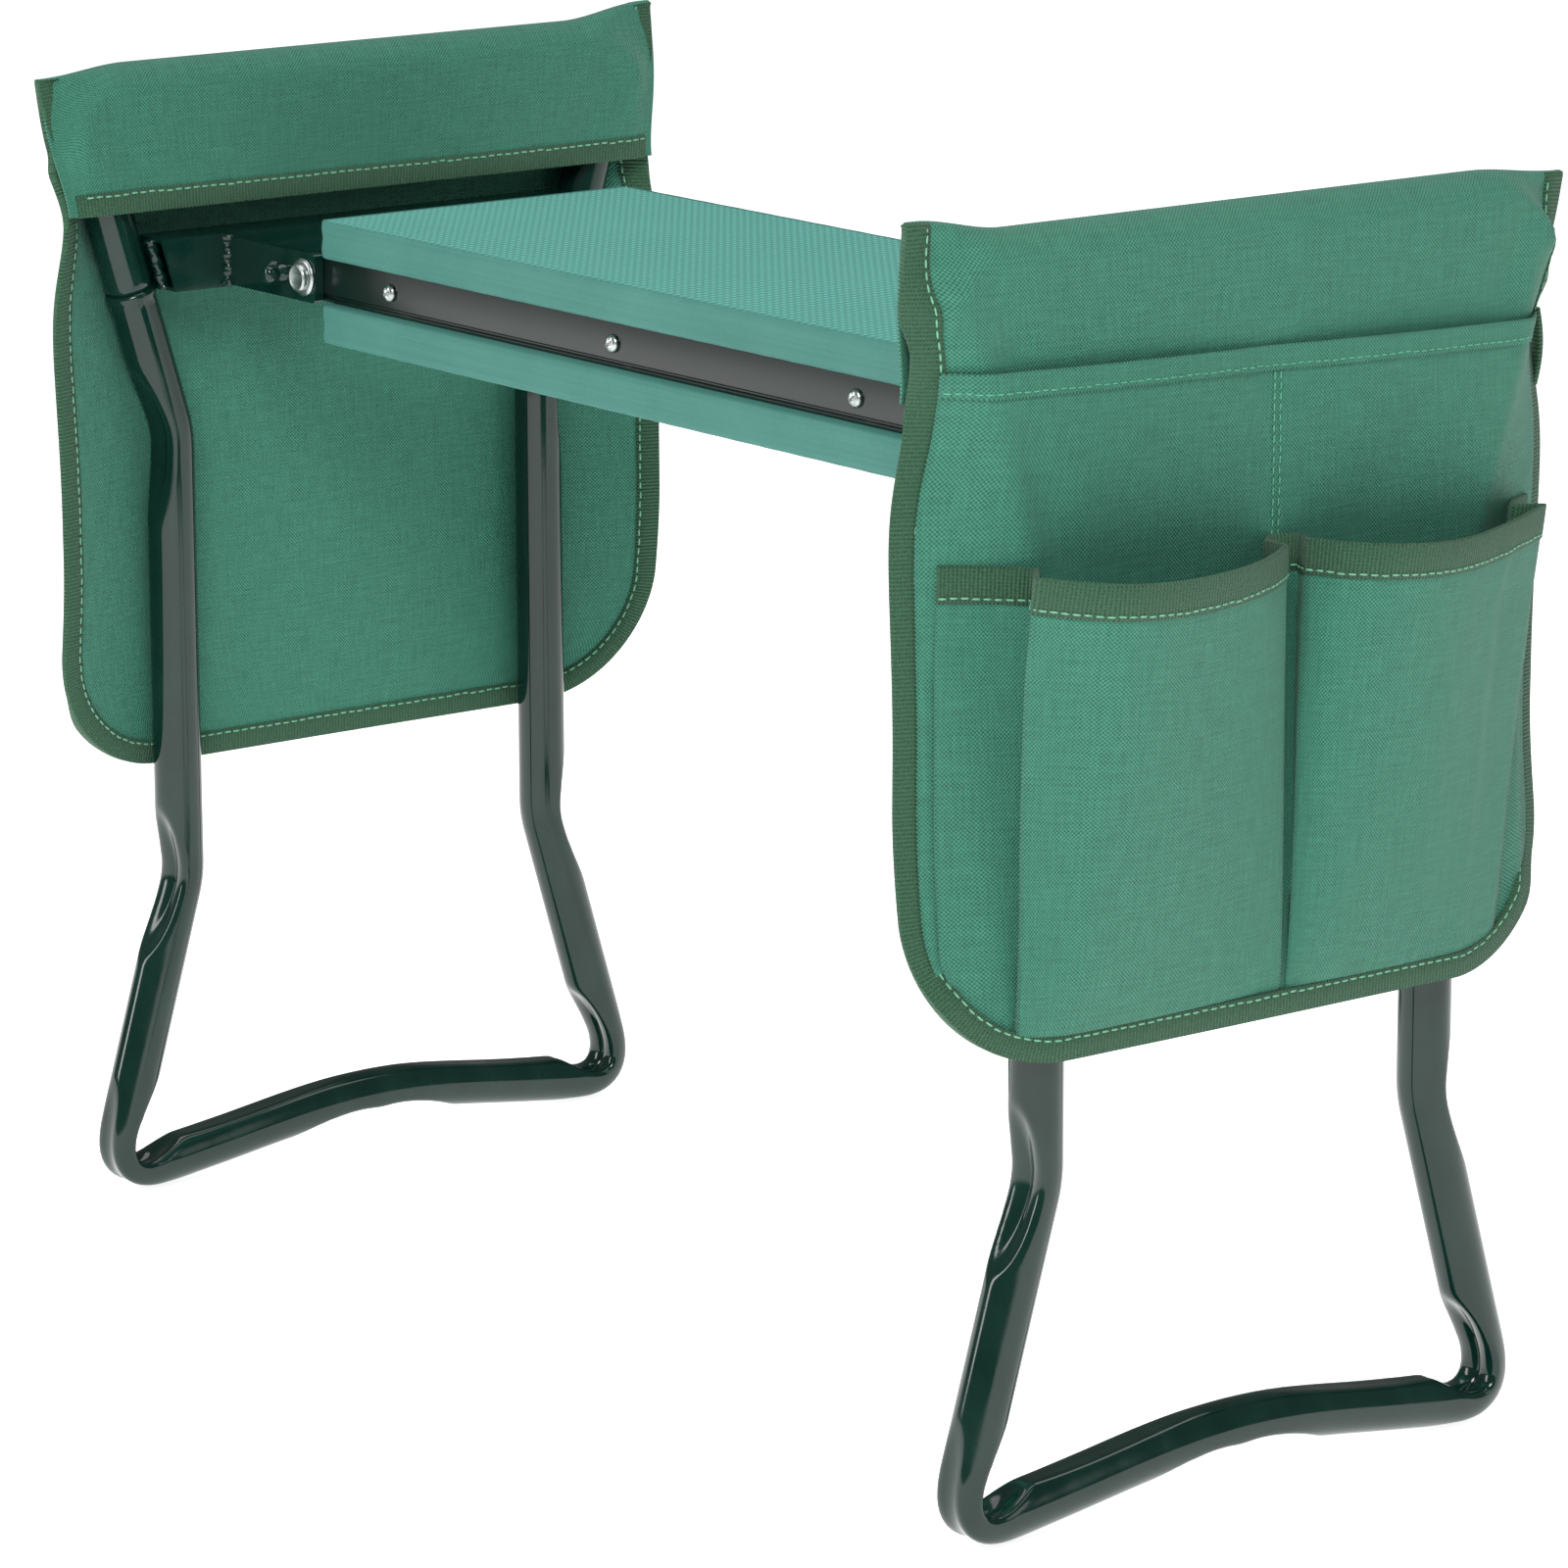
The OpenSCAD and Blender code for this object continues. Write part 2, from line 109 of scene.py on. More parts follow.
# ---------------- materials
class Nodes:
    """A material's node tree, with short calls to add and join nodes."""

    def __init__(self, name):
        self.mat = bpy.data.materials.new(name)
        self.mat.use_nodes = True
        self.tree = self.mat.node_tree
        self.shader = self.tree.nodes["Principled BSDF"]

    def add(self, kind, **settings):
        node = self.tree.nodes.new(kind)
        for key, value in settings.items():
            setattr(node, key, value)
        return node

    def put(self, socket, value):
        if isinstance(value, bpy.types.NodeSocket):
            self.tree.links.new(value, socket)
        else:
            socket.default_value = value

    def math(self, op, a, b=0.0, c=0.0):
        node = self.add("ShaderNodeMath", operation=op)
        for socket, value in zip(node.inputs, (a, b, c)):
            self.put(socket, value)
        return node.outputs[0]

    def noise(self, scale, detail=2.0, vector=None, roughness=0.5):
        node = self.add("ShaderNodeTexNoise")
        self.put(node.inputs["Scale"], scale)
        self.put(node.inputs["Detail"], detail)
        self.put(node.inputs["Roughness"], roughness)
        if vector is not None:
            self.put(node.inputs["Vector"], vector)
        return node.outputs["Fac"]

    def ramp(self, value, low, high, a, b):
        """A colour from a to b as value goes from low to high."""
        node = self.add("ShaderNodeMapRange", data_type="FLOAT")
        for key, v in (("Value", value), ("From Min", low), ("From Max", high)):
            self.put(node.inputs[key], v)
        blend = self.add("ShaderNodeMix", data_type="RGBA")
        self.put(blend.inputs["Factor"], node.outputs["Result"])
        self.put(blend.inputs[6], a if isinstance(a, bpy.types.NodeSocket) else (*a, 1))
        self.put(blend.inputs[7], b if isinstance(b, bpy.types.NodeSocket) else (*b, 1))
        return blend.outputs[2]

    def scaled(self, value, low, high, a, b):
        node = self.add("ShaderNodeMapRange", data_type="FLOAT")
        for key, v in (("Value", value), ("From Min", low), ("From Max", high), ("To Min", a),
                       ("To Max", b)):
            self.put(node.inputs[key], v)
        return node.outputs["Result"]

    def bump(self, height, distance, strength=1.0, normal=None):
        node = self.add("ShaderNodeBump")
        self.put(node.inputs["Height"], height)
        self.put(node.inputs["Distance"], distance)
        self.put(node.inputs["Strength"], strength)
        if normal is not None:
            self.put(node.inputs["Normal"], normal)
        return node.outputs["Normal"]

    def uv(self):
        node = self.add("ShaderNodeUVMap", uv_map="weave")
        split = self.add("ShaderNodeSeparateXYZ")
        self.put(split.inputs[0], node.outputs[0])
        return node.outputs[0], split.outputs[0], split.outputs[1]

    def place(self, stretch=(1, 1, 1)):
        coord = self.add("ShaderNodeTexCoord")
        scale = self.add("ShaderNodeMapping")
        scale.inputs["Scale"].default_value = stretch
        self.put(scale.inputs["Vector"], coord.outputs["Object"])
        return scale.outputs[0]

    def finish(self, **inputs):
        for key, value in inputs.items():
            self.put(self.shader.inputs[key.replace("_", " ")], value)
        return self.mat


def cloth_material():
    """Coarse plain weave: threads 0.75 mm apart, with slubs and slow changes of dye."""
    m = Nodes("oxford_cloth")
    vector, u, v = m.uv()
    pitch = 0.00150
    a = m.math("SINE", m.math("MULTIPLY", u, 2 * math.pi / pitch))
    b = m.math("SINE", m.math("MULTIPLY", v, 2 * math.pi / pitch))
    cell = m.math("MULTIPLY", a, b)
    fine = m.math("SINE", m.math("MULTIPLY", m.math("ADD", u, v), 4 * math.pi / pitch))
    slub_u = m.noise(1.0, 2.0, stretched(m, vector, (900, 60, 1)))
    slub_v = m.noise(1.0, 2.0, stretched(m, vector, (60, 900, 1)))
    slubs = m.math("ADD", slub_u, slub_v)
    threads = m.math("ADD", m.math("MULTIPLY", cell, 0.62), m.math("MULTIPLY", fine, 0.10))
    tone = m.math("ADD", threads, m.math("MULTIPLY", m.math("SUBTRACT", slubs, 1.0), 0.55))
    color = m.ramp(tone, -0.8, 0.8, (0.001, 0.040, 0.023), (0.060, 0.296, 0.198))
    dye = m.noise(9.0, 3.0, m.place())
    faded = m.ramp(tone, -0.8, 0.8, (0.005, 0.068, 0.041), (0.064, 0.292, 0.196))
    color = m.ramp(dye, 0.3, 0.75, color, faded)
    normal = m.bump(m.math("ADD", cell, slubs), 0.00022, 0.75)
    return m.finish(Base_Color=color, Roughness=m.scaled(dye, 0.3, 0.7, 0.62, 0.74), Normal=normal,
                    Sheen_Weight=0.12, Sheen_Roughness=0.45, Specular_IOR_Level=0.35)


def stretched(m, vector, scale):
    node = m.add("ShaderNodeMapping")
    node.inputs["Scale"].default_value = scale
    m.put(node.inputs["Vector"], vector)
    return node.outputs[0]


def webbing_material():
    """Narrow ribbed tape: ribs across it, and a fine dotted weave along them."""
    m = Nodes("webbing")
    vector, u, v = m.uv()
    rib = m.math("SINE", m.math("MULTIPLY", u, 2 * math.pi / 0.00150))
    dots = m.math("SINE", m.math("MULTIPLY", v, 2 * math.pi / 0.00125))
    shift = m.math("MULTIPLY", rib, dots)
    fuzz = m.noise(1.0, 3.0, stretched(m, vector, (700, 1100, 1)))
    tone = m.math("ADD", m.math("ADD", m.math("MULTIPLY", rib, 0.35), m.math("MULTIPLY", shift, 0.4)),
                  m.math("MULTIPLY", m.math("SUBTRACT", fuzz, 0.5), 1.6))
    color = m.ramp(tone, -0.9, 0.9, (0.0072, 0.036, 0.0176), (0.048, 0.152, 0.0784))
    normal = m.bump(m.math("ADD", rib, m.math("MULTIPLY", shift, 0.6)), 0.0003, 0.8)
    return m.finish(Base_Color=color, Roughness=0.72, Normal=normal, Sheen_Weight=0.1, Specular_IOR_Level=0.3)


def thread_material(name, color):
    """Twisted sewing thread."""
    m = Nodes(name)
    twist = m.noise(900.0, 2.0, m.place())
    shade = m.ramp(twist, 0.3, 0.7, tuple(c * 0.75 for c in color), color)
    return m.finish(Base_Color=shade, Roughness=0.55, Normal=m.bump(twist, 0.0002, 0.5))


def foam_material(name, low, high, dots=0.0):
    """Closed-cell foam: fine pores, faint saw lines along its cut edges and slow changes of tone. A non-zero
    dots paints a highlight on the tops of the raised dots.
    """
    m = Nodes(name)
    pores = m.noise(900.0, 3.0, m.place())
    lines = m.noise(1.0, 3.0, m.place((6, 6, 900)))
    cloud = m.noise(24.0, 3.0, m.place())
    tone = m.math("ADD", m.math("MULTIPLY", pores, 0.25),
                  m.math("ADD", m.math("MULTIPLY", lines, 0.35), m.math("MULTIPLY", cloud, 0.4)))
    color = m.ramp(tone, 0.35, 0.65, low, high)
    if dots:
        split = m.add("ShaderNodeSeparateXYZ")
        m.put(split.inputs[0], m.place())
        across = m.math("COSINE", m.math("MULTIPLY", split.outputs[0], 2 * math.pi / DOT_X))
        along = m.math("COSINE", m.math("MULTIPLY", split.outputs[1], 2 * math.pi / DOT_Y))
        raised = m.math("ADD", m.math("MULTIPLY", across, 0.6), m.math("MULTIPLY", along, 0.4))
        # painted highlight: the tops of the raised dots are lightened to dots times the light foam colour,
        # standing in for light catching them
        color = m.ramp(raised, -0.5, 0.8, color, tuple(c * dots for c in high))
    normal = m.bump(m.math("ADD", m.math("MULTIPLY", pores, 0.5), lines), 0.00012, 0.6)
    return m.finish(Base_Color=color, Roughness=0.68, Normal=normal, Specular_IOR_Level=0.35)


def gloss_paint(name, color, rough, peel):
    """Thick glossy paint on steel, with orange peel, faint smears and worn spots."""
    m = Nodes(name)
    wave = m.noise(peel, 2.0, m.place())
    smear = m.noise(1.0, 4.0, m.place((14, 60, 40)))
    worn = m.noise(320.0, 4.0, m.place())
    shade = m.ramp(smear, 0.35, 0.7, color, tuple(c * 1.35 + 0.002 for c in color))
    shade = m.ramp(worn, 0.70, 0.80, shade, tuple(c * 0.6 for c in color))
    return m.finish(Base_Color=shade, Roughness=m.scaled(smear, 0.35, 0.75, rough, rough + 0.10),
                    Normal=m.bump(wave, 0.0004, 0.08), Specular_IOR_Level=0.46)


def metal(name, color, rough, streak=(30, 30, 400)):
    """Plated or bare steel with fine brushing and dull spots."""
    m = Nodes(name)
    lines = m.noise(1.0, 3.0, m.place(streak))
    spots = m.noise(260.0, 3.0, m.place())
    shade = m.ramp(spots, 0.4, 0.75, color, tuple(c * 0.72 for c in color))
    return m.finish(Base_Color=shade, Metallic=1.0, Roughness=m.scaled(lines, 0.3, 0.7, rough, rough + 0.16),
                    Normal=m.bump(lines, 0.00006, 0.4))


def wood_material():
    """Raw board with long grain."""
    m = Nodes("board_wood")
    grain = m.noise(1.0, 5.0, m.place((9, 160, 160)), 0.6)
    shade = m.ramp(grain, 0.3, 0.7, (0.30, 0.19, 0.10), (0.52, 0.36, 0.21))
    return m.finish(Base_Color=shade, Roughness=0.8, Normal=m.bump(grain, 0.0002, 0.5))


CLOTH = cloth_material()
WEBBING = webbing_material()
THREAD = thread_material("thread_light", (0.17, 0.46, 0.29))
THREAD_DARK = thread_material("thread_cloth", (0.10, 0.40, 0.26))
# the 1.85 paints a highlight on the dot tops of the pad faces
FOAM_TOP = foam_material("foam_face", (0.050, 0.190, 0.162), (0.066, 0.226, 0.193), 1.85)
FOAM_SIDE = foam_material("foam_edge", (0.040, 0.164, 0.136), (0.062, 0.212, 0.176))
GREEN = gloss_paint("green_paint", (0.0014, 0.017, 0.012), 0.07, 60)
RAIL_PAINT = gloss_paint("rail_paint", (0.0012, 0.0075, 0.0060), 0.18, 90)
ZINC = metal("zinc", (0.46, 0.50, 0.49), 0.22)
BARE = metal("bare_steel", (0.42, 0.42, 0.43), 0.30)
WOOD = wood_material()


# ---------------- meshes
def turned(points, side):
    """Right-hand points, or the same points turned half round for the left-hand side."""
    points = np.asarray(points, float).copy()
    points[..., :2] *= SIDES[side]
    return points


def make(name, verts, faces, material, uv=None, flat=False):
    mesh = bpy.data.meshes.new(name)
    mesh.from_pydata(np.asarray(verts, float).reshape(-1, 3).tolist(), [], faces)
    mesh.update()
    obj = bpy.data.objects.new(name, mesh)
    bpy.context.scene.collection.objects.link(obj)
    mesh.materials.append(material)
    mesh.polygons.foreach_set("use_smooth", [not flat] * len(mesh.polygons))
    if uv is not None:
        layer = mesh.uv_layers.new(name="weave")
        index = np.zeros(len(mesh.loops), int)
        mesh.loops.foreach_get("vertex_index", index)
        layer.data.foreach_set("uv", np.asarray(uv, float).reshape(-1, 2)[index].ravel())
    return obj


def grid_faces(rows, cols, base=0, wrap=False, flip=False):
    """Faces of a grid of rows by cols points. wrap joins the last column to the first."""
    i, j = np.meshgrid(np.arange(rows - 1), np.arange(cols if wrap else cols - 1), indexing="ij")
    k = (j + 1) % cols
    quads = np.stack([i * cols + j, i * cols + k, (i + 1) * cols + k, (i + 1) * cols + j], -1).reshape(-1, 4)
    if flip:
        quads = quads[:, ::-1]
    return (quads + base).tolist()


def grid_normals(points):
    across = np.gradient(points, axis=1)
    along = np.gradient(points, axis=0)
    normal = np.cross(across, along)
    return normal / np.maximum(np.linalg.norm(normal, axis=2, keepdims=True), 1e-12)


def thick_sheet(name, points, uv, thickness, material, side):
    """A closed sheet of that thickness around a grid of points."""
    rows, cols = points.shape[:2]
    normal = grid_normals(points)
    front = points + normal * thickness / 2
    back = points - normal * thickness / 2
    count = rows * cols
    faces = grid_faces(rows, cols) + grid_faces(rows, cols, count, flip=True)
    rim = ([(0, j) for j in range(cols)] + [(i, cols - 1) for i in range(1, rows)]
           + [(rows - 1, j) for j in range(cols - 2, -1, -1)] + [(i, 0) for i in range(rows - 2, 0, -1)])
    ids = [i * cols + j for i, j in rim]
    for a, b in zip(ids, ids[1:] + ids[:1]):
        faces.append([b, a, a + count, b + count])
    verts = turned(np.concatenate([front.reshape(-1, 3), back.reshape(-1, 3)]), side)
    both = np.concatenate([uv.reshape(-1, 2), uv.reshape(-1, 2)])
    return make(name, verts, faces, material, both)


def loft(name, sections, material, side, uv_scale=1.0):
    """A closed form through sections, an array of sections by points by 3, with flat ends."""
    sections = np.asarray(sections, float)
    n, k = sections.shape[:2]
    faces = grid_faces(n, k, wrap=True, flip=True)
    faces += [list(range(k)), list(range((n - 1) * k, n * k))[::-1]]
    along = np.concatenate([[0], np.cumsum(np.linalg.norm(np.diff(sections[:, 0], axis=0), axis=1))])
    around = np.concatenate([[0], np.cumsum(np.linalg.norm(np.diff(sections[n // 2], axis=0), axis=1))])
    uv = np.stack(np.meshgrid(along, around, indexing="ij"), -1) * uv_scale
    return make(name, turned(sections, side), faces, material, uv)


def lathe(name, profile, center, axis, material, side, steps=48):
    """A turned piece. profile is (radius, distance along axis) pairs; axis is 'x', '+y' or '-y'."""
    profile = np.asarray(profile, float)
    angle = np.linspace(0, 2 * math.pi, steps, endpoint=False)
    r, h = profile[:, 0][:, None], profile[:, 1][:, None] + 0 * angle
    a, b = r * np.cos(angle), r * np.sin(angle)
    if axis == "x":
        points = np.stack([h, a, b], -1)
    else:
        sign = 1 if axis == "+y" else -1
        points = np.stack([a, sign * h, b * sign], -1)
    points = points + np.asarray(center, float)
    return loft(name, points, material, side)


def joined(name, objects):
    """One object from several, with the first one's materials."""
    bpy.ops.object.select_all(action="DESELECT")
    for o in objects:
        o.select_set(True)
    bpy.context.view_layer.objects.active = objects[0]
    bpy.ops.object.join()
    objects[0].name = name
    return objects[0]


def place(obj, body, slot, *stands_for):
    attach(obj, body)
    if stands_for:
        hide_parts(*stands_for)
    return obj


# ---------------- bent tubes with crushed bends
def unit(v):
    return v / np.linalg.norm(v)


def bend(a, b, c, r, steps=14):
    a, b, c = (np.array(p, float) for p in (a, b, c))
    u, v = unit(a - b), unit(c - b)
    back = r / math.tan(math.acos(float(u @ v)) / 2)
    t = np.linspace(0, 1, steps)[:, None]
    return b + back * ((1 - t) ** 2 * u + t ** 2 * v)


def arch_shape(t):
    return 0.5 + 0.5 * np.cos(math.pi * t)


def leg_y(z):
    return WAIST_HALF + SPLAY * max(0.0, z - WAIST_HIGH_Z)


def resampled(path, step):
    gaps = np.linalg.norm(np.diff(path, axis=0), axis=1)
    along = np.concatenate([[0], np.cumsum(gaps)])
    s = np.linspace(0, along[-1], int(along[-1] / step) + 1)
    return np.stack([np.interp(s, along, path[:, i]) for i in range(path.shape[1])], -1)


def both_sides(half):
    """The whole loop from one half, whose last point is on the middle plane."""
    return np.concatenate([half, (half * [-1, 1])[::-1][1:]])


def lower_path():
    splice = (leg_y(JOINT_Z), JOINT_Z)
    waist_high, waist_low = (WAIST_HALF, WAIST_HIGH_Z), (WAIST_HALF, WAIST_LOW_Z)
    foot = (FOOT_HALF, FLOOR_Z - FOOT_DROP)
    edge_y = FOOT_HALF - FOOT_RUN
    edge = (edge_y, FLOOR_Z + ARCH_RISE * float(arch_shape(edge_y / FOOT_HALF)))
    y = np.linspace(edge_y, 0, 15)[2:]
    arch = np.stack([y, FLOOR_Z + ARCH_RISE * arch_shape(y / FOOT_HALF)], -1)
    half = np.concatenate([[splice], bend(splice, waist_high, waist_low, 0.045),
                           bend(waist_high, waist_low, foot, 0.045), bend(waist_low, foot, edge, 0.015), arch])
    return resampled(both_sides(half), 0.0018)


def upper_path():
    splice, corner = (leg_y(JOINT_Z), JOINT_Z + 0.0002), (GRIP_HALF, GRIP_Z)
    half = np.concatenate([[splice], bend(splice, corner, (0, GRIP_Z), 0.030), [(0, GRIP_Z)]])
    return resampled(both_sides(half), 0.0035)


# Crushed places on a loop: middle (y, z), the side pushed in, half length along the tube, depth, hollow
CRUSHES = [
    ((FOOT_HALF - 0.007, FLOOR_Z + 0.010), (-0.70, 0.71), 0.034, 0.0086, 0.0022),
    ((FOOT_HALF - 0.001, FLOOR_Z + 0.004), (0.93, -0.37), 0.030, 0.0026, 0.0008),
    ((WAIST_HALF, WAIST_LOW_Z - 0.003), (1.0, 0.05), 0.033, 0.0066, 0.0020),
    ((WAIST_HALF, WAIST_HIGH_Z - 0.003), (1.0, -0.05), 0.036, 0.0058, 0.0016),
    ((-0.010, FLOOR_Z + ARCH_RISE), (0.02, -1.0), 0.032, 0.0052, 0.0010),
    ((0.062, FLOOR_Z + 0.011), (0.10, 1.0), 0.046, 0.0018, 0.0),
]


def tube_mesh(name, path, side, sides=56, lip=False):
    n = len(path)
    head = np.gradient(path, axis=0)
    head /= np.linalg.norm(head, axis=1, keepdims=True)
    across = np.stack([-head[:, 1], head[:, 0]], -1)
    gaps = np.linalg.norm(np.diff(path, axis=0), axis=1)
    along = np.concatenate([[0], np.cumsum(gaps)])
    angle = np.linspace(0, 2 * math.pi, sides, endpoint=False)
    radius = np.full((n, sides), TUBE_R)
    for (y0, z0), toward, length, depth, hollow in CRUSHES:
        for mirror in (1, -1):
            spot = np.array([y0 * mirror, z0])
            push = unit(np.array(toward) * [mirror, 1])
            away = np.linalg.norm(path - spot, axis=1)
            k = int(np.argmin(away))
            if away[k] > 0.02:
                continue
            reach = np.clip(1 - ((along - along[k]) / length) ** 2, 0, 1)[:, None]
            side_on = np.sign(across[k] @ push)
            lean = side_on * np.sin(angle)[None, :] + 0 * reach
            cut = depth * reach ** 0.9
            chord = (TUBE_R - cut) / np.maximum(lean, 1e-3)
            flat = np.where(lean > 0, np.minimum(radius, chord), radius)
            start = (TUBE_R - cut) / TUBE_R
            inside = np.clip((lean - start) / np.maximum(1 - start, 1e-6), 0, 1)
            flat -= hollow * reach * np.sin(inside * math.pi / 2) ** 2
            rim = np.exp(-((lean - start) / 0.16) ** 2) * reach * depth * 0.09
            radius = flat + rim
    # the sheet steel bends a little at each crease instead of folding sharply
    for _ in range(2):
        radius = 0.5 * radius + 0.25 * (np.roll(radius, 1, 1) + np.roll(radius, -1, 1))
        radius[1:-1] = 0.5 * radius[1:-1] + 0.25 * (radius[2:] + radius[:-2])
    if lip:
        edge = np.minimum(along, along[-1] - along)
        radius += 0.0010 * np.exp(-((edge - 0.0016) / 0.0015) ** 2)[:, None]
    x = LOOP_X + radius * np.cos(angle)
    y = path[:, 0:1] + radius * np.sin(angle) * across[:, 0:1]
    z = path[:, 1:2] + radius * np.sin(angle) * across[:, 1:2]
    z = np.maximum(z, 0.0)
    return loft(name, np.stack([x, y, z], -1), GREEN, side)


def build_loops(side):
    body = f"{side}_leg"
    low = tube_mesh(f"{side}_lower_tube", lower_path(), side, lip=True)
    place(low, body, "green_paint", f"{side}_lower_loop")
    top = tube_mesh(f"{side}_upper_tube", upper_path(), side)
    place(top, body, "green_paint", f"{side}_upper_loop")


# ---------------- pouch cloth
SLEEVE_R = 0.0118
SLEEVE_Z = GRIP_Z + 0.0020
SLEEVE_X = PANEL_X - SLEEVE_R
PEAK_HIGH, PEAK_LOW = 0.95, 0.45


def fullness(u, s=0.0):
    """1 where the sleeve is filled by the tube, 0 in the flat seam at each end."""
    down = smooth(np.abs(s) / 0.034)
    start, end = mix(0.108, 0.1385, down), mix(0.1500, 0.1515, down)
    return 1 - smooth((np.abs(u) - start) / (end - start))


def sleeve_r(u, s=0.0):
    return SLEEVE_R * fullness(u, s) + 0.0007


def lean(z):
    return 0.18 * np.clip(LEAN_TOP_Z - z, 0, 0.066)


def half_width(z):
    """Half the width of the pouch at each height, with its round lower corners."""
    pinch = 0.0075 * np.exp(-((z - FOLD_END) / 0.028) ** 2)
    top = HALF_WIDTH + 0.001 - pinch - 0.003 * smooth((HANG_Z - z) / 0.10)
    r, up = CORNER_R, np.clip(z - POUCH_LOW_Z, 0, CORNER_R)
    corner = r - np.sqrt(np.maximum(r * r - (r - up) ** 2, 0))
    return top - corner


def panel_x(y, z):
    """How far out the hanging cloth is: flat between the legs, then straight back from each leg."""
    leg = np.minimum(WAIST_HALF + SPLAY * np.maximum(0, z - WAIST_HIGH_Z), 0.1265)
    ring = PANEL_X - LOOP_X
    edge_y = np.maximum(half_width(np.maximum(z, STRIP_BEND_Z)), leg + 0.016)
    drop = np.where(z > HANG_Z, mix(0.0125, 0.0205, smooth((0.441 - z) / 0.03)), 0.0205)
    drop = mix(0.0105, drop, smooth((z - 0.176) / 0.10))
    gap_y, gap_x = edge_y - leg, ring - drop
    far = np.hypot(gap_y, gap_x)
    turn = np.arctan2(gap_x, gap_y) + np.arccos(np.clip(ring / far, -1, 1))
    touch = ring * np.cos(turn)
    past = np.abs(y) - leg
    arc = np.sqrt(np.maximum(ring * ring - np.clip(past, 0, touch) ** 2, 0))
    slope = (ring * np.sin(turn) - gap_x) / (gap_y - touch)
    x = LOOP_X + arc - slope * np.maximum(past - touch, 0)
    sag = 0.0012 * np.cos(np.clip(y / 0.085, -1, 1) * math.pi / 2) * smooth((HANG_Z - z) / 0.1)
    wave = 0.0010 * np.sin(y * 26 + z * 9) * smooth((WAVE_TOP_Z - z) / 0.15)
    return x - sag + wave


def backing(t, s):
    """The backing and sleeve as one surface. t is -1 to 1 across; s is the length from the top, outwards."""
    u = t * HALF_WIDTH
    r = sleeve_r(u, s)
    quarter = r * math.pi / 2
    full = (SLEEVE_R + 0.0007) * math.pi / 2
    peak = np.where(u < 0, PEAK_HIGH, PEAK_LOW) * (full - quarter)
    a = np.clip(s / r, -math.pi / 2, math.pi / 2)
    rest = np.maximum(np.abs(s) - quarter, 0)
    z = SLEEVE_Z + peak + r * np.cos(a) - rest
    z = mix(z, SLEEVE_Z + full - np.abs(s), smooth((np.abs(s) - 0.020) / 0.045))
    z = np.maximum(z, POUCH_LOW_Z)
    y = t * half_width(z)
    middle = SLEEVE_X - lean(z) * (1 - fullness(u, s))
    x = middle + r * np.sin(a)
    x = np.where(s > 0, mix(x, panel_x(y, z), smooth((s - 0.030) / 0.018)), x)
    slant = (np.abs(u) - 0.132 + 0.35 * (LEAN_TOP_Z - z)) / 0.0085
    fold = np.exp(-slant ** 2) * smooth(np.abs(s) / 0.012) * smooth((z - 0.416) / 0.02)
    x = x - np.sign(s) * 0.0013 * fold
    return np.stack([x, y, z], -1)


S_TOP = SLEEVE_Z + (SLEEVE_R + 0.0007) * math.pi / 2
S_FLAP = FLAP_Z - S_TOP
S_LOW = S_TOP - POUCH_LOW_Z


def s_of(z):
    return S_TOP - z


def across_steps(n):
    """Places across the cloth, closer together near the seams."""
    t = np.linspace(-1, 1, n)
    return np.sign(t) * (1 - (1 - np.abs(t)) ** 1.35)


def sheet_grid(t, s, shift=None):
    tt, ss = np.meshgrid(t, s)
    points = backing(tt, ss)
    if shift is not None:
        points = points + grid_normals(points) * shift(tt, ss)[..., None]
    return points, np.stack([tt * HALF_WIDTH, ss], -1)


def s_steps(a, b, step):
    return np.linspace(a, b, max(3, int(abs(b - a) / step)))


def edge_line(inset):
    """Points on the cloth a given width in from its edge: down one side, round the foot, up the other."""
    s = np.concatenate([s_steps(0.0004, 0.030, 0.0012), s_steps(0.0315, s_of(POUCH_LOW_Z + 0.060), 0.003)])
    z = backing(np.full_like(s, -1.0), s)[:, 2]
    side = np.stack([-1 + inset / half_width(z), s], -1)
    r = CORNER_R - inset
    corner = np.linspace(0.05, math.pi / 2, 24)
    mid = -(float(half_width(np.array([POUCH_LOW_Z + CORNER_R]))[0]) - inset)
    y = np.concatenate([mid + r - r * np.cos(corner), np.linspace(mid + r, 0, 40)[1:]])
    z = np.concatenate([POUCH_LOW_Z + CORNER_R - r * np.sin(corner), np.full(39, POUCH_LOW_Z + inset)])
    foot = np.stack([np.maximum(y / half_width(z), -1), s_of(z)], -1)
    half = np.concatenate([side, foot])
    both = np.concatenate([half, (half * [-1, 1])[::-1][1:]])
    return backing(both[:, 0], both[:, 1])


def capsule():
    """A small stitch along x, from -0.5 to 0.5, with radius 1 across."""
    xs, rs = [-0.5, -0.36, 0.0, 0.36, 0.5], [0.35, 0.85, 1.0, 0.85, 0.35]
    a = np.linspace(0, 2 * math.pi, 6, endpoint=False)
    verts = np.array([[x, r * math.cos(k), r * math.sin(k)] for x, r in zip(xs, rs) for k in a])
    faces = grid_faces(5, 6, wrap=True, flip=True)
    faces += [list(range(6)), list(range(24, 30))[::-1]]
    return verts, faces


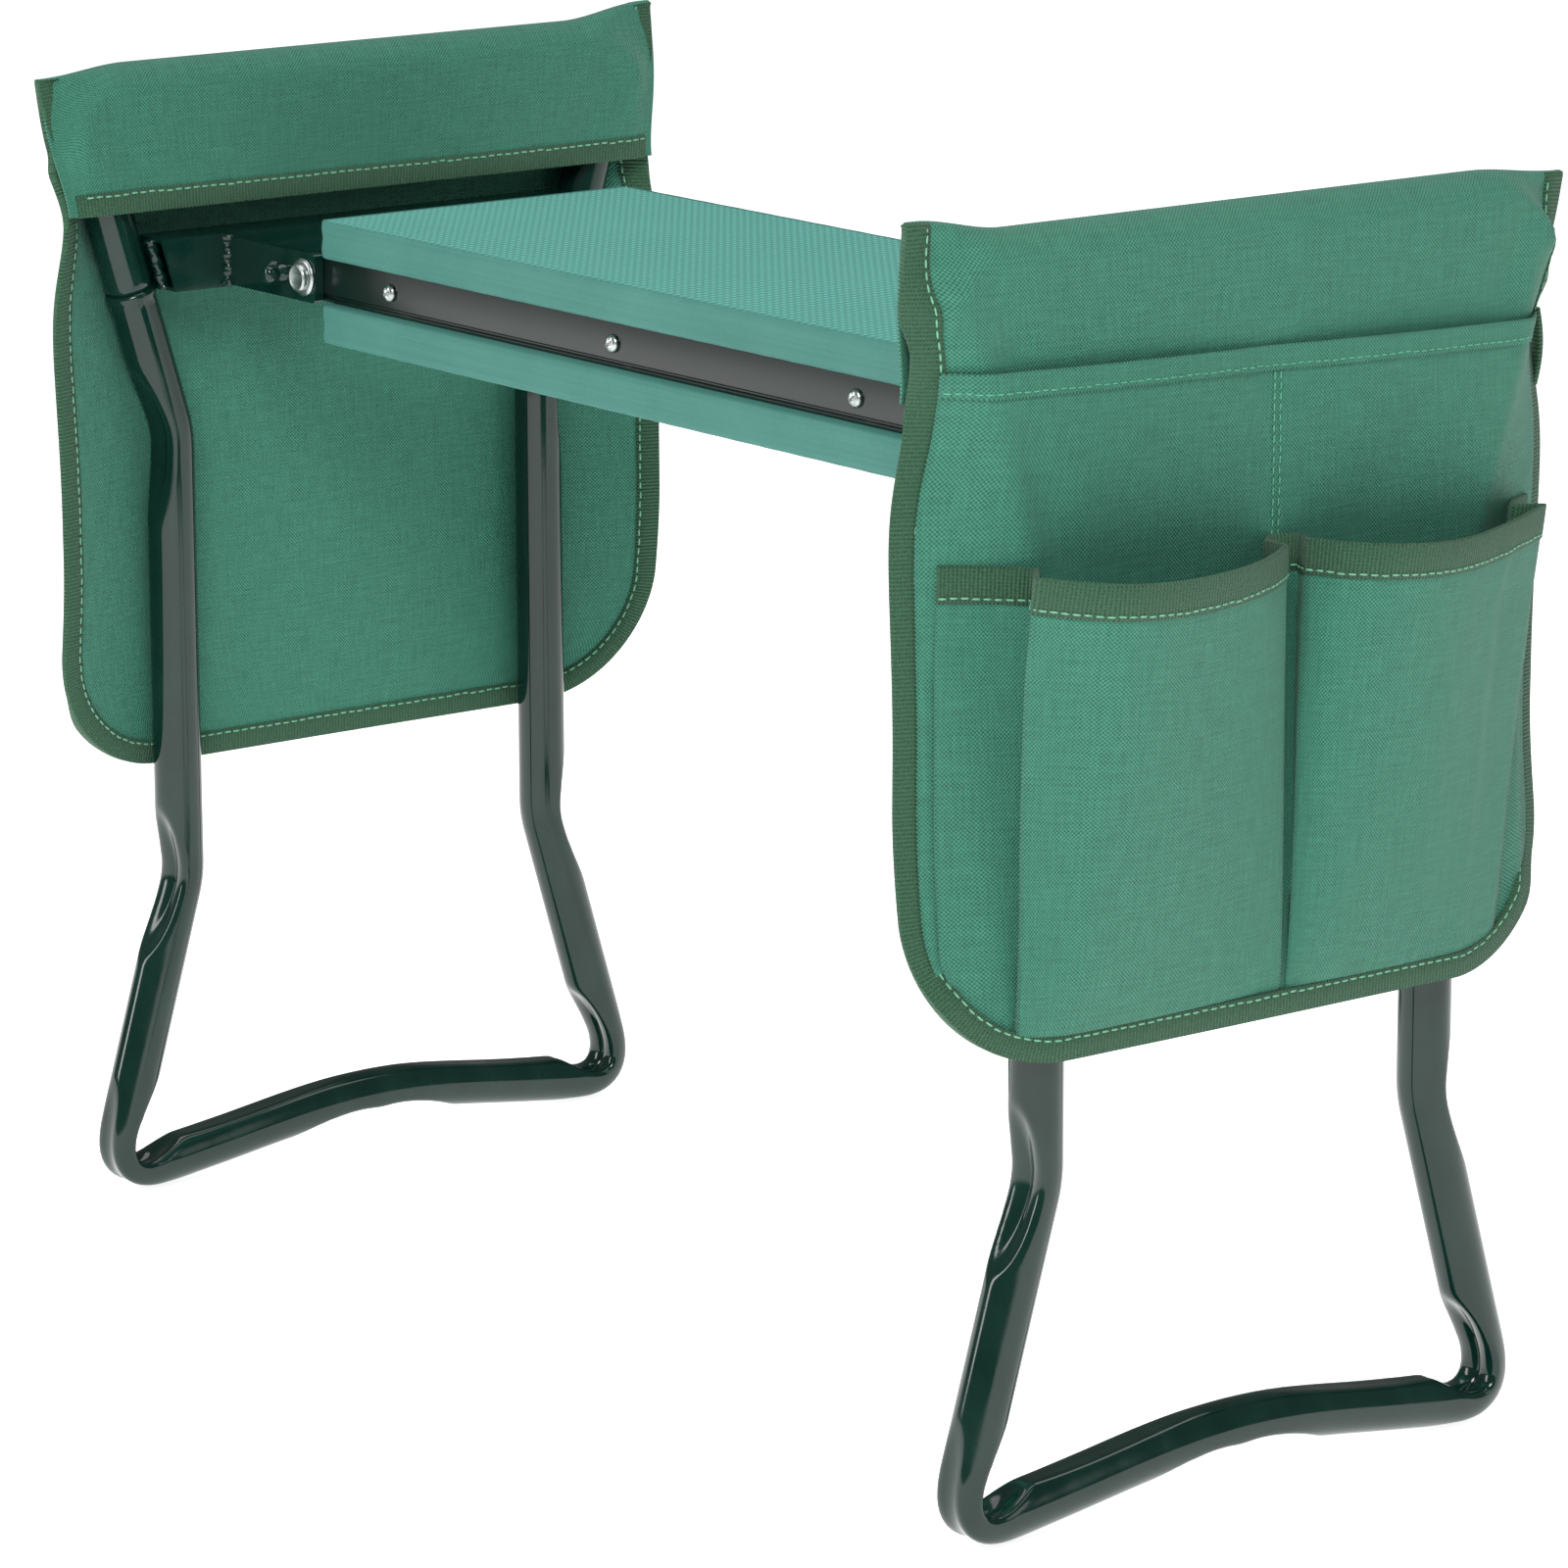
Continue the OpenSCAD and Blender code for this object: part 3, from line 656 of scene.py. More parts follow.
def stitches(name, line, up, material, side, pitch=0.0042, length=0.0030, radius=0.00042):
    """Dashes of thread along a line of points. up is the cloth's normal, one for each point."""
    gaps = np.linalg.norm(np.diff(line, axis=0), axis=1)
    along = np.concatenate([[0], np.cumsum(gaps)])
    count = int(along[-1] / pitch)
    verts, faces = [], []
    base, base_faces = capsule()
    for k in range(count):
        s0 = (k + 0.5) * pitch - length / 2
        ends = [np.array([np.interp(q, along, line[:, i]) for i in range(3)]) for q in (s0, s0 + length)]
        normal = unit(np.array([np.interp(s0, along, up[:, i]) for i in range(3)]))
        ahead = unit(ends[1] - ends[0])
        beside = unit(np.cross(normal, ahead))
        wobble = rng.normal(0, 0.00012)
        middle = (ends[0] + ends[1]) / 2 + beside * wobble
        local = (base[:, :1] * length * ahead + base[:, 1:2] * radius * beside
                 + base[:, 2:] * radius * 0.7 * normal)
        faces += [[i + len(verts) * len(base) for i in f] for f in base_faces]
        verts.append(local + middle)
    return make(name, turned(np.concatenate(verts), side), faces, material)


def binding(name, inner, outer, over, under, side, thickness=WEB_T):
    """Webbing folded over an edge, from line inner to line outer. over and under reach its two faces."""
    lip = outer + (outer - inner) * 0.05
    middle = mix(inner, outer, 0.5)
    sections = [inner + over * 0.25 * thickness, inner + over * thickness, middle + over * thickness,
                outer + over * thickness * 0.95, lip + over * thickness * 0.5,
                lip + under * thickness * 0.5, outer + under * thickness * 0.95,
                middle + under * thickness, inner + under * thickness, inner + under * 0.25 * thickness]
    sections = np.stack(sections, 1)
    along = np.concatenate([[0], np.cumsum(np.linalg.norm(np.diff(outer, axis=0), axis=1))])
    width = np.linalg.norm(outer - inner, axis=1)
    part = np.array([0, 0, 0.5, 1, 1.05, 1.05, 1, 0.5, 0, 0])
    tape = loft(name, sections, WEBBING, side)
    uv = np.stack([np.repeat(along[:, None], 10, 1), part[None] * width[:, None]], -1).reshape(-1, 2)
    index = np.zeros(len(tape.data.loops), int)
    tape.data.loops.foreach_get("vertex_index", index)
    tape.data.uv_layers["weave"].data.foreach_set("uv", uv[index].ravel())
    return tape


def line_normals(inner, outer):
    """Normals of the narrow strip between two lines."""
    along = np.gradient(outer, axis=0)
    across = outer - inner
    normal = np.cross(along, across)
    return normal / np.maximum(np.linalg.norm(normal, axis=1, keepdims=True), 1e-12)


def fold_blend(obj):
    """Bakes the object's placement into its mesh."""
    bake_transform(obj)
    return obj


def hang(obj, side, slot, *stands_for):
    """Hides the CAD parts that a cloth piece stands for and bakes its placement into its mesh; slot is not
    used.
    """
    if stands_for:
        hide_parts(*stands_for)
    return fold_blend(obj)


def build_backing(side):
    """The backing from the top ridge down and the flap inside: two sheets that meet at the ridge."""
    t = across_steps(97)
    outer = np.concatenate([s_steps(0.0, 0.024, 0.0012), s_steps(0.0255, S_LOW - 0.06, 0.0035),
                            s_steps(S_LOW - 0.058, S_LOW, 0.0020)])
    points, uv = sheet_grid(t, outer)
    back = thick_sheet(f"{side}_backing_cloth", points, uv, CLOTH_T, CLOTH, side)
    hang(back, side, "cloth", f"{side}_pouch_panel")
    inner = np.concatenate([s_steps(0.0, -0.024, 0.0012), s_steps(-0.0255, S_FLAP, 0.0035)])
    points, uv = sheet_grid(t, inner[::-1])
    flap = thick_sheet(f"{side}_flap_cloth", points, uv, CLOTH_T, CLOTH, side)
    place(flap, f"{side}_leg", "cloth", f"{side}_sleeve")


def build_bindings(side):
    outer, inner = edge_line(0.0), edge_line(WEB_W)
    normal = line_normals(inner, outer)
    if normal[len(normal) // 2][0] < 0:
        normal = -normal
    doubled = smooth((outer[:, 2:] - FLAP_Z + 0.004) / 0.008)
    sewn_in = smooth((POUCH_LOW_Z + 0.040 - inner[:, 2:]) / 0.016)
    over, under = normal * (1 + 3.3 * sewn_in), -normal * (1 + 1.25 * doubled)
    tape = binding(f"{side}_edge_webbing", inner, outer, over, under, side)
    hang(tape, side, "webbing", f"{side}_pouch_binding", f"{side}_sleeve_binding")
    line = mix(inner, outer, 0.14)
    for face, push in (("out", over), ("in", under)):
        sewn = stitches(f"{side}_edge_stitches_{face}", line + push * WEB_T, push, THREAD, side)
        hang(sewn, side, "webbing")
    t = across_steps(120)[4:-4]
    low = backing(t, np.full_like(t, S_FLAP))
    high = backing(t, np.full_like(t, S_FLAP + 0.0090))
    normal = line_normals(high, low)
    if normal[60][0] > 0:
        normal = -normal
    tape = binding(f"{side}_flap_webbing", high, low, normal, -normal, side, 0.0011)
    place(tape, f"{side}_leg", "webbing", f"{side}_flap_binding")
    sewn = stitches(f"{side}_flap_stitches", mix(high, low, 0.16) + normal * 0.0011, normal, THREAD, side)
    place(sewn, f"{side}_leg", "webbing")


def pocket_gap(u, z):
    """How far the flat pocket stands off the backing."""
    side = np.abs(u) / 0.142
    swell = np.sin(np.clip(side, 0, 1) * math.pi) ** 0.8
    open_top = smooth((z - WAVE_TOP_Z) / 0.07)
    return 0.0016 + 0.0030 * swell * (0.35 + 0.65 * open_top)


def flat_pocket_points(t, z, more=0.0):
    u = t * HALF_WIDTH
    z = z + (0.0020 - 0.024 * u) * smooth((z - 0.345) / 0.07)
    points = backing(t, s_of(z))
    points[..., 0] += pocket_gap(u, z) + more
    crease = 0.0030 * np.exp(-((u + 0.115 - (0.411 - z) * 0.42) / 0.0085) ** 2 - ((z - 0.383) / 0.022) ** 2)
    ripple = 0.0012 * np.exp(-((u - 0.085 + (0.411 - z) * 0.7) / 0.012) ** 2 - ((z - 0.386) / 0.02) ** 2)
    points[..., 0] -= crease + ripple
    return points


def build_flat_pocket(side):
    t = np.linspace(-0.955, 0.955, 90)
    z = np.concatenate([np.linspace(HEM_Z, HEM_Z - 0.012, 7), np.linspace(HEM_Z - 0.015, 0.206, 60)])
    tt, zz = np.meshgrid(t, z)
    points = flat_pocket_points(tt, zz)
    uv = np.stack([tt * HALF_WIDTH, zz + UV_SHIFT], -1)
    cloth = thick_sheet(f"{side}_flat_pocket_cloth", points, uv, 0.0010, CLOTH, side)
    hang(cloth, side, "cloth", f"{side}_flat_pocket")
    hem_z = np.linspace(HEM_Z + 0.0004, HEM_Z - 0.0085, 8)
    tt, zz = np.meshgrid(t, hem_z)
    hem = flat_pocket_points(tt, zz, 0.0009)
    uv = np.stack([tt * HALF_WIDTH, zz + UV_SHIFT], -1)
    turned_hem = thick_sheet(f"{side}_pocket_hem", hem, uv, 0.0011, CLOTH, side)
    hang(turned_hem, side, "cloth")
    up = np.tile([1.0, 0, 0], (len(t), 1))
    line = flat_pocket_points(t, np.full_like(t, HEM_Z - 0.0066), 0.0016)
    sewn = stitches(f"{side}_hem_stitches", line, up, THREAD_DARK, side, *RUNNING_STITCH)
    hang(sewn, side, "cloth")
    for k, y in enumerate((0.0021, 0.0049)):
        z = np.linspace(HEM_Z - 0.001, GUSSET_Z - 0.012, 30)
        line = flat_pocket_points(np.full_like(z, y / HALF_WIDTH), z, 0.0012)
        up = np.tile([1.0, 0, 0], (len(z), 1))
        sewn = stitches(f"{side}_middle_stitches_{k}", line, up, THREAD_DARK, side, *RUNNING_STITCH)
        hang(sewn, side, "cloth")


# Plans of the two gusseted pockets at their tops: (out, y) points, and where each comes down to at its foot
WIDE_FRONT = [(0.3165, -0.1215), (0.3275, -0.1135), (0.3365, -0.1020), (0.3400, -0.0850), (0.3395, -0.0650),
              (0.3335, -0.0420), (0.3250, -0.0220), (0.3150, -0.0065)]
NARROW_FRONT = [(0.3100, 0.0085), (0.3225, 0.0155), (0.3310, 0.0300), (0.3325, 0.0500), (0.3285, 0.0720),
                (0.3200, 0.0920), (0.3110, 0.1110), (0.3020, 0.1300)]


def spline(points, n):
    """A smooth curve through points, evenly spaced along its length."""
    p = np.asarray(points, float)
    p = np.concatenate([[2 * p[0] - p[1]], p, [2 * p[-1] - p[-2]]])
    out = []
    for i in range(1, len(p) - 2):
        t = np.linspace(0, 1, 12, endpoint=False)[:, None]
        out.append(0.5 * (2 * p[i] + (p[i + 1] - p[i - 1]) * t
                          + (2 * p[i - 1] - 5 * p[i] + 4 * p[i + 1] - p[i + 2]) * t ** 2
                          + (3 * p[i] - p[i - 1] - 3 * p[i + 1] + p[i + 2]) * t ** 3))
    curve = np.concatenate(out + [p[-2:-1]])
    gaps = np.linalg.norm(np.diff(curve, axis=0), axis=1)
    along = np.concatenate([[0], np.cumsum(gaps)])
    s = np.linspace(0, along[-1], n)
    return np.stack([np.interp(s, along, curve[:, k]) for k in range(2)], -1)


def straight(a, b, n):
    t = np.linspace(0, 1, n)[1:-1, None]
    return np.array(a) + (np.array(b) - np.array(a)) * t


def strip_plan():
    """The whole strip from one side seam to the other, as top points and foot points."""
    wide, narrow = spline(WIDE_FRONT, 44), spline(NARROW_FRONT, 44)
    seam_l, seam_r = (0.2790, -0.1385), (0.2790, 0.1385)
    tuck_l, tuck_m1 = (0.3000, -0.1085), (0.3040, -0.0060)
    tuck_r = (0.2955, 0.1190)
    middle = (0.2975, 0.0015)
    tuck_m2 = (0.3015, 0.0120)
    top = np.concatenate([[seam_l], straight(seam_l, tuck_l, 12), [tuck_l],
                          straight(tuck_l, wide[0], 6), wide,
                          straight(wide[-1], tuck_m1, 5), [tuck_m1], straight(tuck_m1, middle, 4), [middle],
                          straight(middle, tuck_m2, 4), [tuck_m2], straight(tuck_m2, narrow[0], 5), narrow,
                          straight(narrow[-1], tuck_r, 6), [tuck_r], straight(tuck_r, seam_r, 12), [seam_r]])
    foot_y = np.interp(top[:, 1], [-0.1385, -0.1215, -0.0065, 0.0085, 0.1300, 0.1385],
                       [-0.1385, -0.1125, 0.0075, 0.0105, 0.1150, 0.1385])
    return top, foot_y


STRIP_TOP, STRIP_FOOT_Y = strip_plan()


def strip_points(z, columns=slice(None)):
    """The gusseted strip at heights z: rows of points, full at its top and flat at its foot."""
    foot_z = POUCH_LOW_Z + 0.008
    top = STRIP_TOP[columns]
    foot_y = STRIP_FOOT_Y[columns]
    top_z = GUSSET_Z - 0.026 * top[:, 1] + 0.0012 * np.cos(top[:, 1] * 45)
    f = (z[:, None] - foot_z) / (GUSSET_Z - foot_z)
    zz = foot_z + f * (top_z - foot_z)
    y = mix(foot_y, top[:, 1], np.clip(f, 0, 1) ** 0.9)
    limit = half_width(zz) - 0.009
    y = np.clip(y, -limit, limit)
    t = np.clip(y / half_width(zz), -1, 1)
    wall = backing(t, s_of(zz))[..., 0] + pocket_gap(y, zz) + 0.0013
    top_t = np.clip(top[:, 1] / half_width(top_z), -1, 1)
    top_wall = backing(top_t, s_of(top_z))[..., 0] + pocket_gap(top[:, 1], top_z) + 0.0013
    depth = np.maximum(top[:, 0] - top_wall, 0.0003)
    full = np.clip(f, 0, 1) ** 0.72 * (1 - 0.06 * np.sin(np.clip(f, 0, 1) * math.pi))
    pleat = 0.0008 * np.sin(top[:, 1] * 90 + zz * 30) * f
    x = wall + depth * full + pleat
    return np.stack([x, y, zz], -1)


def build_gusset_pockets(side):
    body = f"{side}_pouch"
    z = np.concatenate([np.linspace(GUSSET_Z, STRIP_BEND_Z, 40), np.linspace(0.228, POUCH_LOW_Z + 0.008, 20)])
    points = strip_points(z)
    along = np.concatenate([[0], np.cumsum(np.linalg.norm(np.diff(STRIP_TOP, axis=0), axis=1))])
    uv = np.stack(np.meshgrid(along, -z), -1)
    cloth = thick_sheet(f"{side}_gusset_cloth", points, uv, 0.0010, CLOTH, side)
    place(cloth, body, "cloth", f"{side}_gusset_pocket")
    rows = strip_points(np.array([GUSSET_Z + 0.0006, GUSSET_Z - 0.0117]))
    high, low = rows[0], rows[1]
    near = strip_points(np.array([GUSSET_Z, GUSSET_Z - 0.004]))
    normal = grid_normals(near)[0]
    if normal[len(normal) // 3][0] < 0:
        normal = -normal
    tape = binding(f"{side}_pocket_webbing", low, high, normal, -normal, side, 0.0012)
    place(tape, body, "webbing", f"{side}_pocket_binding")
    line = mix(high, low, 0.86) + normal * 0.0013
    place(stitches(f"{side}_pocket_stitches", line, normal, THREAD, side, 0.0040, 0.0029), body, "webbing")


def build_tab(side):
    """A short folded end of webbing sewn into one seam."""
    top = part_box(f"{side}_webbing_tab")[1].z
    t = np.linspace(0, 1, 14)
    y = 0.1462 + 0.0034 * np.sin(t * 2.5 + 0.30)
    z = top - 0.029 * t
    half = mix(0.0036, 0.0016, t)
    x = 0.2745 + 0.001 * t
    sections = []
    for k in range(len(t)):
        ring = [(x[k] - half[k], -0.0012), (x[k] - half[k] * 0.9, 0.0012), (x[k] + half[k] * 0.9, 0.0014),
                (x[k] + half[k], -0.0010)]
        sections.append([(a, y[k] + b, z[k]) for a, b in ring])
    strap = loft(f"{side}_strap", sections, WEBBING, side)
    place(strap, f"{side}_pouch", "webbing", f"{side}_webbing_tab")


# ---------------- seat
PAD_R = 0.004


def pad_face(z_face, up):
    """The embossed face of a pad: rows of small raised dots, each row half a step from the next."""
    half_x, half_y = PAD_HIGH.x - 0.0012, PAD_HIGH.y - 0.0012
    xs = np.linspace(-half_x, half_x, 530)
    ys = np.linspace(-half_y, half_y, 278)
    xx, yy = np.meshgrid(xs, ys, indexing="ij")
    r = PAD_R - 0.0012
    cx, cy = np.abs(xx) - (half_x - r), np.abs(yy) - (half_y - r)
    corner = (cx > 0) & (cy > 0)
    reach = np.sqrt(np.maximum(cx, 0) ** 2 + np.maximum(cy, 0) ** 2)
    scale = np.where(corner & (reach > r), r / np.maximum(reach, 1e-9), 1.0)
    xx = np.where(corner & (reach > r), np.sign(xx) * (half_x - r + cx * scale), xx)
    yy = np.where(corner & (reach > r), np.sign(yy) * (half_y - r + cy * scale), yy)
    dots = (0.5 + 0.5 * np.cos(2 * math.pi * xx / DOT_X)) * (0.35 + 0.65 * np.cos(math.pi * yy / DOT_Y) ** 2)
    edge = smooth(np.minimum(half_x - np.abs(xx), half_y - np.abs(yy)) / 0.002)
    height = -0.00045 + 0.00055 * dots * edge
    crown = 0.0004 * (1 - (xx / half_x) ** 2) * (1 - (yy / half_y) ** 2)
    zz = z_face + up * (height - 0.0003 + crown)
    return xx, yy, zz


def build_pad(node, name, face_up):
    low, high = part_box(node)
    z_face = high.z if face_up > 0 else low.z
    z_back = low.z if face_up > 0 else high.z
    xx, yy, zz = pad_face(z_face, face_up)
    rows, cols = xx.shape
    verts = [np.stack([xx, yy, zz], -1).reshape(-1, 3)]
    faces = grid_faces(rows, cols, flip=face_up < 0)
    n_face = len(faces)
    rim = ([(i, 0) for i in range(rows)] + [(rows - 1, j) for j in range(1, cols)]
           + [(i, cols - 1) for i in range(rows - 2, -1, -1)] + [(0, j) for j in range(cols - 2, 0, -1)])
    ids = np.array([i * cols + j for i, j in rim])
    ring = verts[0][ids]
    half = np.array([PAD_HIGH.x, PAD_HIGH.y])
    inner = half - PAD_R - 0.0001
    core = np.clip(ring[:, :2], -inner, inner)
    away = ring[:, :2] - core
    away /= np.maximum(np.linalg.norm(away, axis=1, keepdims=True), 1e-9)
    levels = [(0.0007, 0.0005), (0.0011, 0.0013), (0.0012, 0.0035), (0.0009, 0.0075), (0.0012, 0.0120),
              (0.0012, 0.0148), (0.0004, abs(z_face - z_back))]
    base = len(verts[0])
    previous = ids
    side_faces = []
    for k, (grow, drop) in enumerate(levels):
        ripple = 0.00012 * np.sin(ring[:, 0] * 310 + drop * 900)
        level = np.concatenate([ring[:, :2] + away * (grow + ripple[:, None]),
                                np.full((len(ring), 1), z_face - face_up * drop)], 1)
        verts.append(level)
        current = base + np.arange(len(ring)) + k * len(ring)
        for a in range(len(ring)):
            b = (a + 1) % len(ring)
            quad = [int(previous[a]), int(current[a]), int(current[b]), int(previous[b])]
            side_faces.append(quad if face_up > 0 else quad[::-1])
        previous = current
    back = [int(i) for i in previous]
    side_faces.append(back[::-1] if face_up > 0 else back)
    obj = make(name, np.concatenate(verts), faces + side_faces, FOAM_TOP)
    obj.data.materials.append(FOAM_SIDE)
    index = np.zeros(len(obj.data.polygons), int)
    index[n_face:] = 1
    obj.data.polygons.foreach_set("material_index", index)
    place(obj, "seat", "foam", node)


def screw_head(center, toward, radius=0.0036, height=0.0024):
    """A domed pan head with a cross recess."""
    rings, steps = 18, 48
    r = np.linspace(0.00001, radius, rings)[:, None]
    a = np.linspace(0, 2 * math.pi, steps, endpoint=False)[None, :] + 0.35
    x, z = r * np.cos(a), r * np.sin(a)
    dome = height * np.sqrt(np.maximum(1 - (r / (radius * 1.06)) ** 2.4, 0)) + 0 * a
    turn = 0.5
    cx, cz = x * math.cos(turn) + z * math.sin(turn), -x * math.sin(turn) + z * math.cos(turn)
    cross = np.maximum(np.exp(-(cx / 0.00055) ** 4) * (np.abs(cz) < 0.0021),
                       np.exp(-(cz / 0.00055) ** 4) * (np.abs(cx) < 0.0021))
    dome = dome - cross * 0.0013 * (1 - r / radius * 0.5)
    y = toward * dome
    skirt = np.stack([x[-1:], 0 * x[-1:], z[-1:]], -1)
    points = np.concatenate([np.stack([x, y, z], -1), skirt]) + np.asarray(center, float)
    return loft("screw_head", points, ZINC, "right")


def build_screws():
    heads = []
    low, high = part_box("rail_screws")
    for x in np.linspace(low.x + 0.0036, high.x - 0.0036, 3):
        for toward, y in ((-1, RAIL_LOW.y), (1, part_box("back_rail")[1].y)):
            heads.append(screw_head((x, y, RAIL_MID_Z), toward))
            thread = [(0.0019 + 0.0003 * (k % 2), 0.0010 + 0.0008 * k) for k in range(32)]
            shank = [(0.0019, 0.0)] + thread + [(0.0003, 0.028)]
            axis = "+y" if toward < 0 else "-y"
            heads.append(lathe("shank", shank, (x, y, RAIL_MID_Z), axis, ZINC, "right", 20))
    place(joined("seat_screws", heads), "seat", "zinc", "rail_screws")


def build_rail(node, name, toward):
    """A flat rail with a rolled lower lip and round ends."""
    low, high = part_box(node)
    face = low.y if toward < 0 else high.y
    z0, z1 = low.z, high.z
    t = abs(high.y - low.y)
    profile = [(0.0, z1 - 0.0006), (0.0006, z1), (t, z1), (t, z0), (0.0008, z0), (0.0, z0 + 0.0008),
               (0.0, z0 + 0.0016), (0.0007, z0 + 0.0022), (0.0007, z0 + 0.0028), (0.0, z0 + 0.0034),
               (0.0, RAIL_MID_Z)]
    r = (z1 - z0) / 2
    xs = np.concatenate([-PIVOT_X - r * np.cos(np.linspace(0.02, math.pi / 2, 14)),
                         np.linspace(-PIVOT_X, PIVOT_X, 40)[1:-1],
                         PIVOT_X + r * np.sin(np.linspace(0, math.pi / 2 - 0.02, 14))])
    sections = []
    for x in xs:
        over = max(0.0, abs(x) - PIVOT_X)
        squeeze = math.sqrt(max(0.0, 1 - (over / r) ** 2))
        sections.append([(x, face - toward * d, RAIL_MID_Z + (z - RAIL_MID_Z) * squeeze) for d, z in profile])
    points = np.array(sections)
    rail = loft(name, points if toward > 0 else points[:, ::-1], RAIL_PAINT, "right")
    mod = rail.modifiers.new("soft_edges", "BEVEL")
    mod.width, mod.segments, mod.limit_method = 0.0004, 2, "ANGLE"
    place(rail, "seat", "rail_paint", node)


def build_hinges(side):
    """Rivets, washers, lock bar and welds of one end."""
    sx = PIVOT_X
    rivets, washers = [], []
    low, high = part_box("right_pivot_rivets")
    for axis, sign in (("-y", -1), ("+y", 1)):
        rail_inner = 0.068
        head = [(0.0002, 0.0150), (0.0042, 0.0150), (0.0045, 0.0151), (0.0050, 0.0152), (0.0054, 0.0149),
                (0.0056, 0.0144), (0.0056, 0.0126), (0.0055, 0.0124), (0.0040, 0.0124), (0.0040, 0.0),
                (0.0056, 0.0), (0.0054, -0.0014), (0.0040, -0.0026), (0.0002, -0.0030)]
        reach = abs(high.y) - rail_inner - 0.0152
        head = [(r, h + (reach if h > 0.001 else 0)) for r, h in head]
        rivets.append(lathe("rivet", head, (sx, sign * rail_inner, RAIL_MID_Z), axis, ZINC, side))
        w = [(0.0041, 0), (0.0076, 0), (0.0077, 0.0003), (0.0076, 0.0010), (0.0058, 0.0011), (0.0041, 0.0010)]
        washers.append(lathe("washer", w, (sx, sign * 0.0754, RAIL_MID_Z), axis, ZINC, side))
    place(joined(f"{side}_rivets", rivets), "seat", "zinc", f"{side}_pivot_rivets")
    place(joined(f"{side}_washers", washers), "seat", "zinc", f"{side}_pivot_washers")

    low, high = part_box(f"{side}_lock_bar")
    half, r = (high.y - low.y) / 2, (high.z - low.z) / 2
    bar_x = PIVOT_X + 0.015
    ends = [(0.0002, -half), (r - 0.0012, -half), (r - 0.0002, -half + 0.0008), (r, -half + 0.0016),
            (r, -half + 0.0050), (r - 0.0007, -half + 0.0056), (r - 0.0007, -half + 0.0066),
            (r, -half + 0.0072)]
    profile = ends + [(q, -h) for q, h in ends[::-1]]
    bar = lathe(f"{side}_lock_rod", profile, (bar_x, 0, RAIL_MID_Z), "+y", GREEN, side)
    place(bar, f"{side}_lock", "green_paint", f"{side}_lock_bar")

    beads = []
    cross_low, cross_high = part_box("right_crossbar")
    for sign in (-1, 1):
        for x in (cross_low.x + 0.0095, cross_high.x):
            foot = np.array([x, sign * (leg_y(RAIL_MID_Z - 0.011) - TUBE_R - 0.0006), RAIL_MID_Z - 0.0108])
            head = np.array([x, sign * (leg_y(RAIL_MID_Z + 0.011) - TUBE_R - 0.0006), RAIL_MID_Z + 0.0108])
            beads.append(weld(foot, head, 0.0021, side))
        foot = np.array([cross_low.x, sign * 0.0748, RAIL_MID_Z - 0.0112])
        beads.append(weld(foot, foot + [0, 0, 0.0224], 0.0026, side))
    place(joined(f"{side}_welds", beads), f"{side}_leg", "green_paint", f"{side}_weld_beads")


def weld(a, b, radius, side):
    """A lumpy weld bead between two points."""
    n, k = 44, 14
    t = np.linspace(0, 1, n)
    ripple = 1 + 0.16 * np.abs(np.sin(t * 9 * math.pi)) + 0.10 * np.sin(t * 23 + a[1] * 90) - 0.1
    blob = 0.35 * np.exp(-((t - 0.03) / 0.07) ** 2) + 0.30 * np.exp(-((t - 0.96) / 0.06) ** 2)
    close = np.sqrt(np.clip(np.minimum(t, 1 - t) / 0.04, 0.02, 1))
    r = radius * (ripple + blob) * close
    ahead = unit(b - a)
    e1 = unit(np.cross(ahead, [0.3, 0.9, 0.1]))
    e2 = np.cross(ahead, e1)
    ang = np.linspace(0, 2 * math.pi, k, endpoint=False)
    middle = a + (b - a) * t[:, None]
    lump = 1 + 0.10 * np.sin(ang * 3 + 5 * t[:, None] * 4)
    around = np.cos(ang)[None, :, None] * e1 + np.sin(ang)[None, :, None] * e2
    ring = middle[:, None] + (r[:, None] * lump)[..., None] * around
    return loft("bead", ring, GREEN, side)


def dress(node, material, bevel=0.0):
    """A CAD node that keeps its shape gets its finish, and soft edges."""
    obj = NODES[node]
    obj.data.materials.clear()
    obj.data.materials.append(material)
    if bevel:
        mod = obj.modifiers.new("soft_edges", "BEVEL")
        mod.width, mod.segments, mod.limit_method = bevel, 3, "ANGLE"
        mod.angle_limit = math.radians(40)


# ---------------- assembly
build_pad("top_pad", "top_foam_pad", 1)
build_pad("bottom_pad", "bottom_foam_pad", -1)
build_rail("front_rail", "front_seat_rail", -1)
build_rail("back_rail", "back_seat_rail", 1)
build_screws()
dress("seat_board", WOOD, 0.0005)
for side in SIDES:
    dress(f"{side}_spigots", BARE)
    dress(f"{side}_crossbar", GREEN, 0.0018)
    dress(f"{side}_front_arm", GREEN, 0.0006)
    dress(f"{side}_back_arm", GREEN, 0.0006)
    build_loops(side)
    build_hinges(side)
    build_backing(side)
    build_bindings(side)
    build_flat_pocket(side)
    build_gusset_pockets(side)
build_tab("right")


# ---------------- floor, light and camera
def stage_material():
    m = Nodes("studio_floor")
    grain = m.noise(3.0, 2.0, m.place())
    return m.finish(Base_Color=m.ramp(grain, 0.2, 0.8, (0.93, 0.93, 0.93), (0.95, 0.95, 0.95)), Roughness=0.9,
                    Emission_Color=(1, 1, 1, 1), Emission_Strength=0.86)


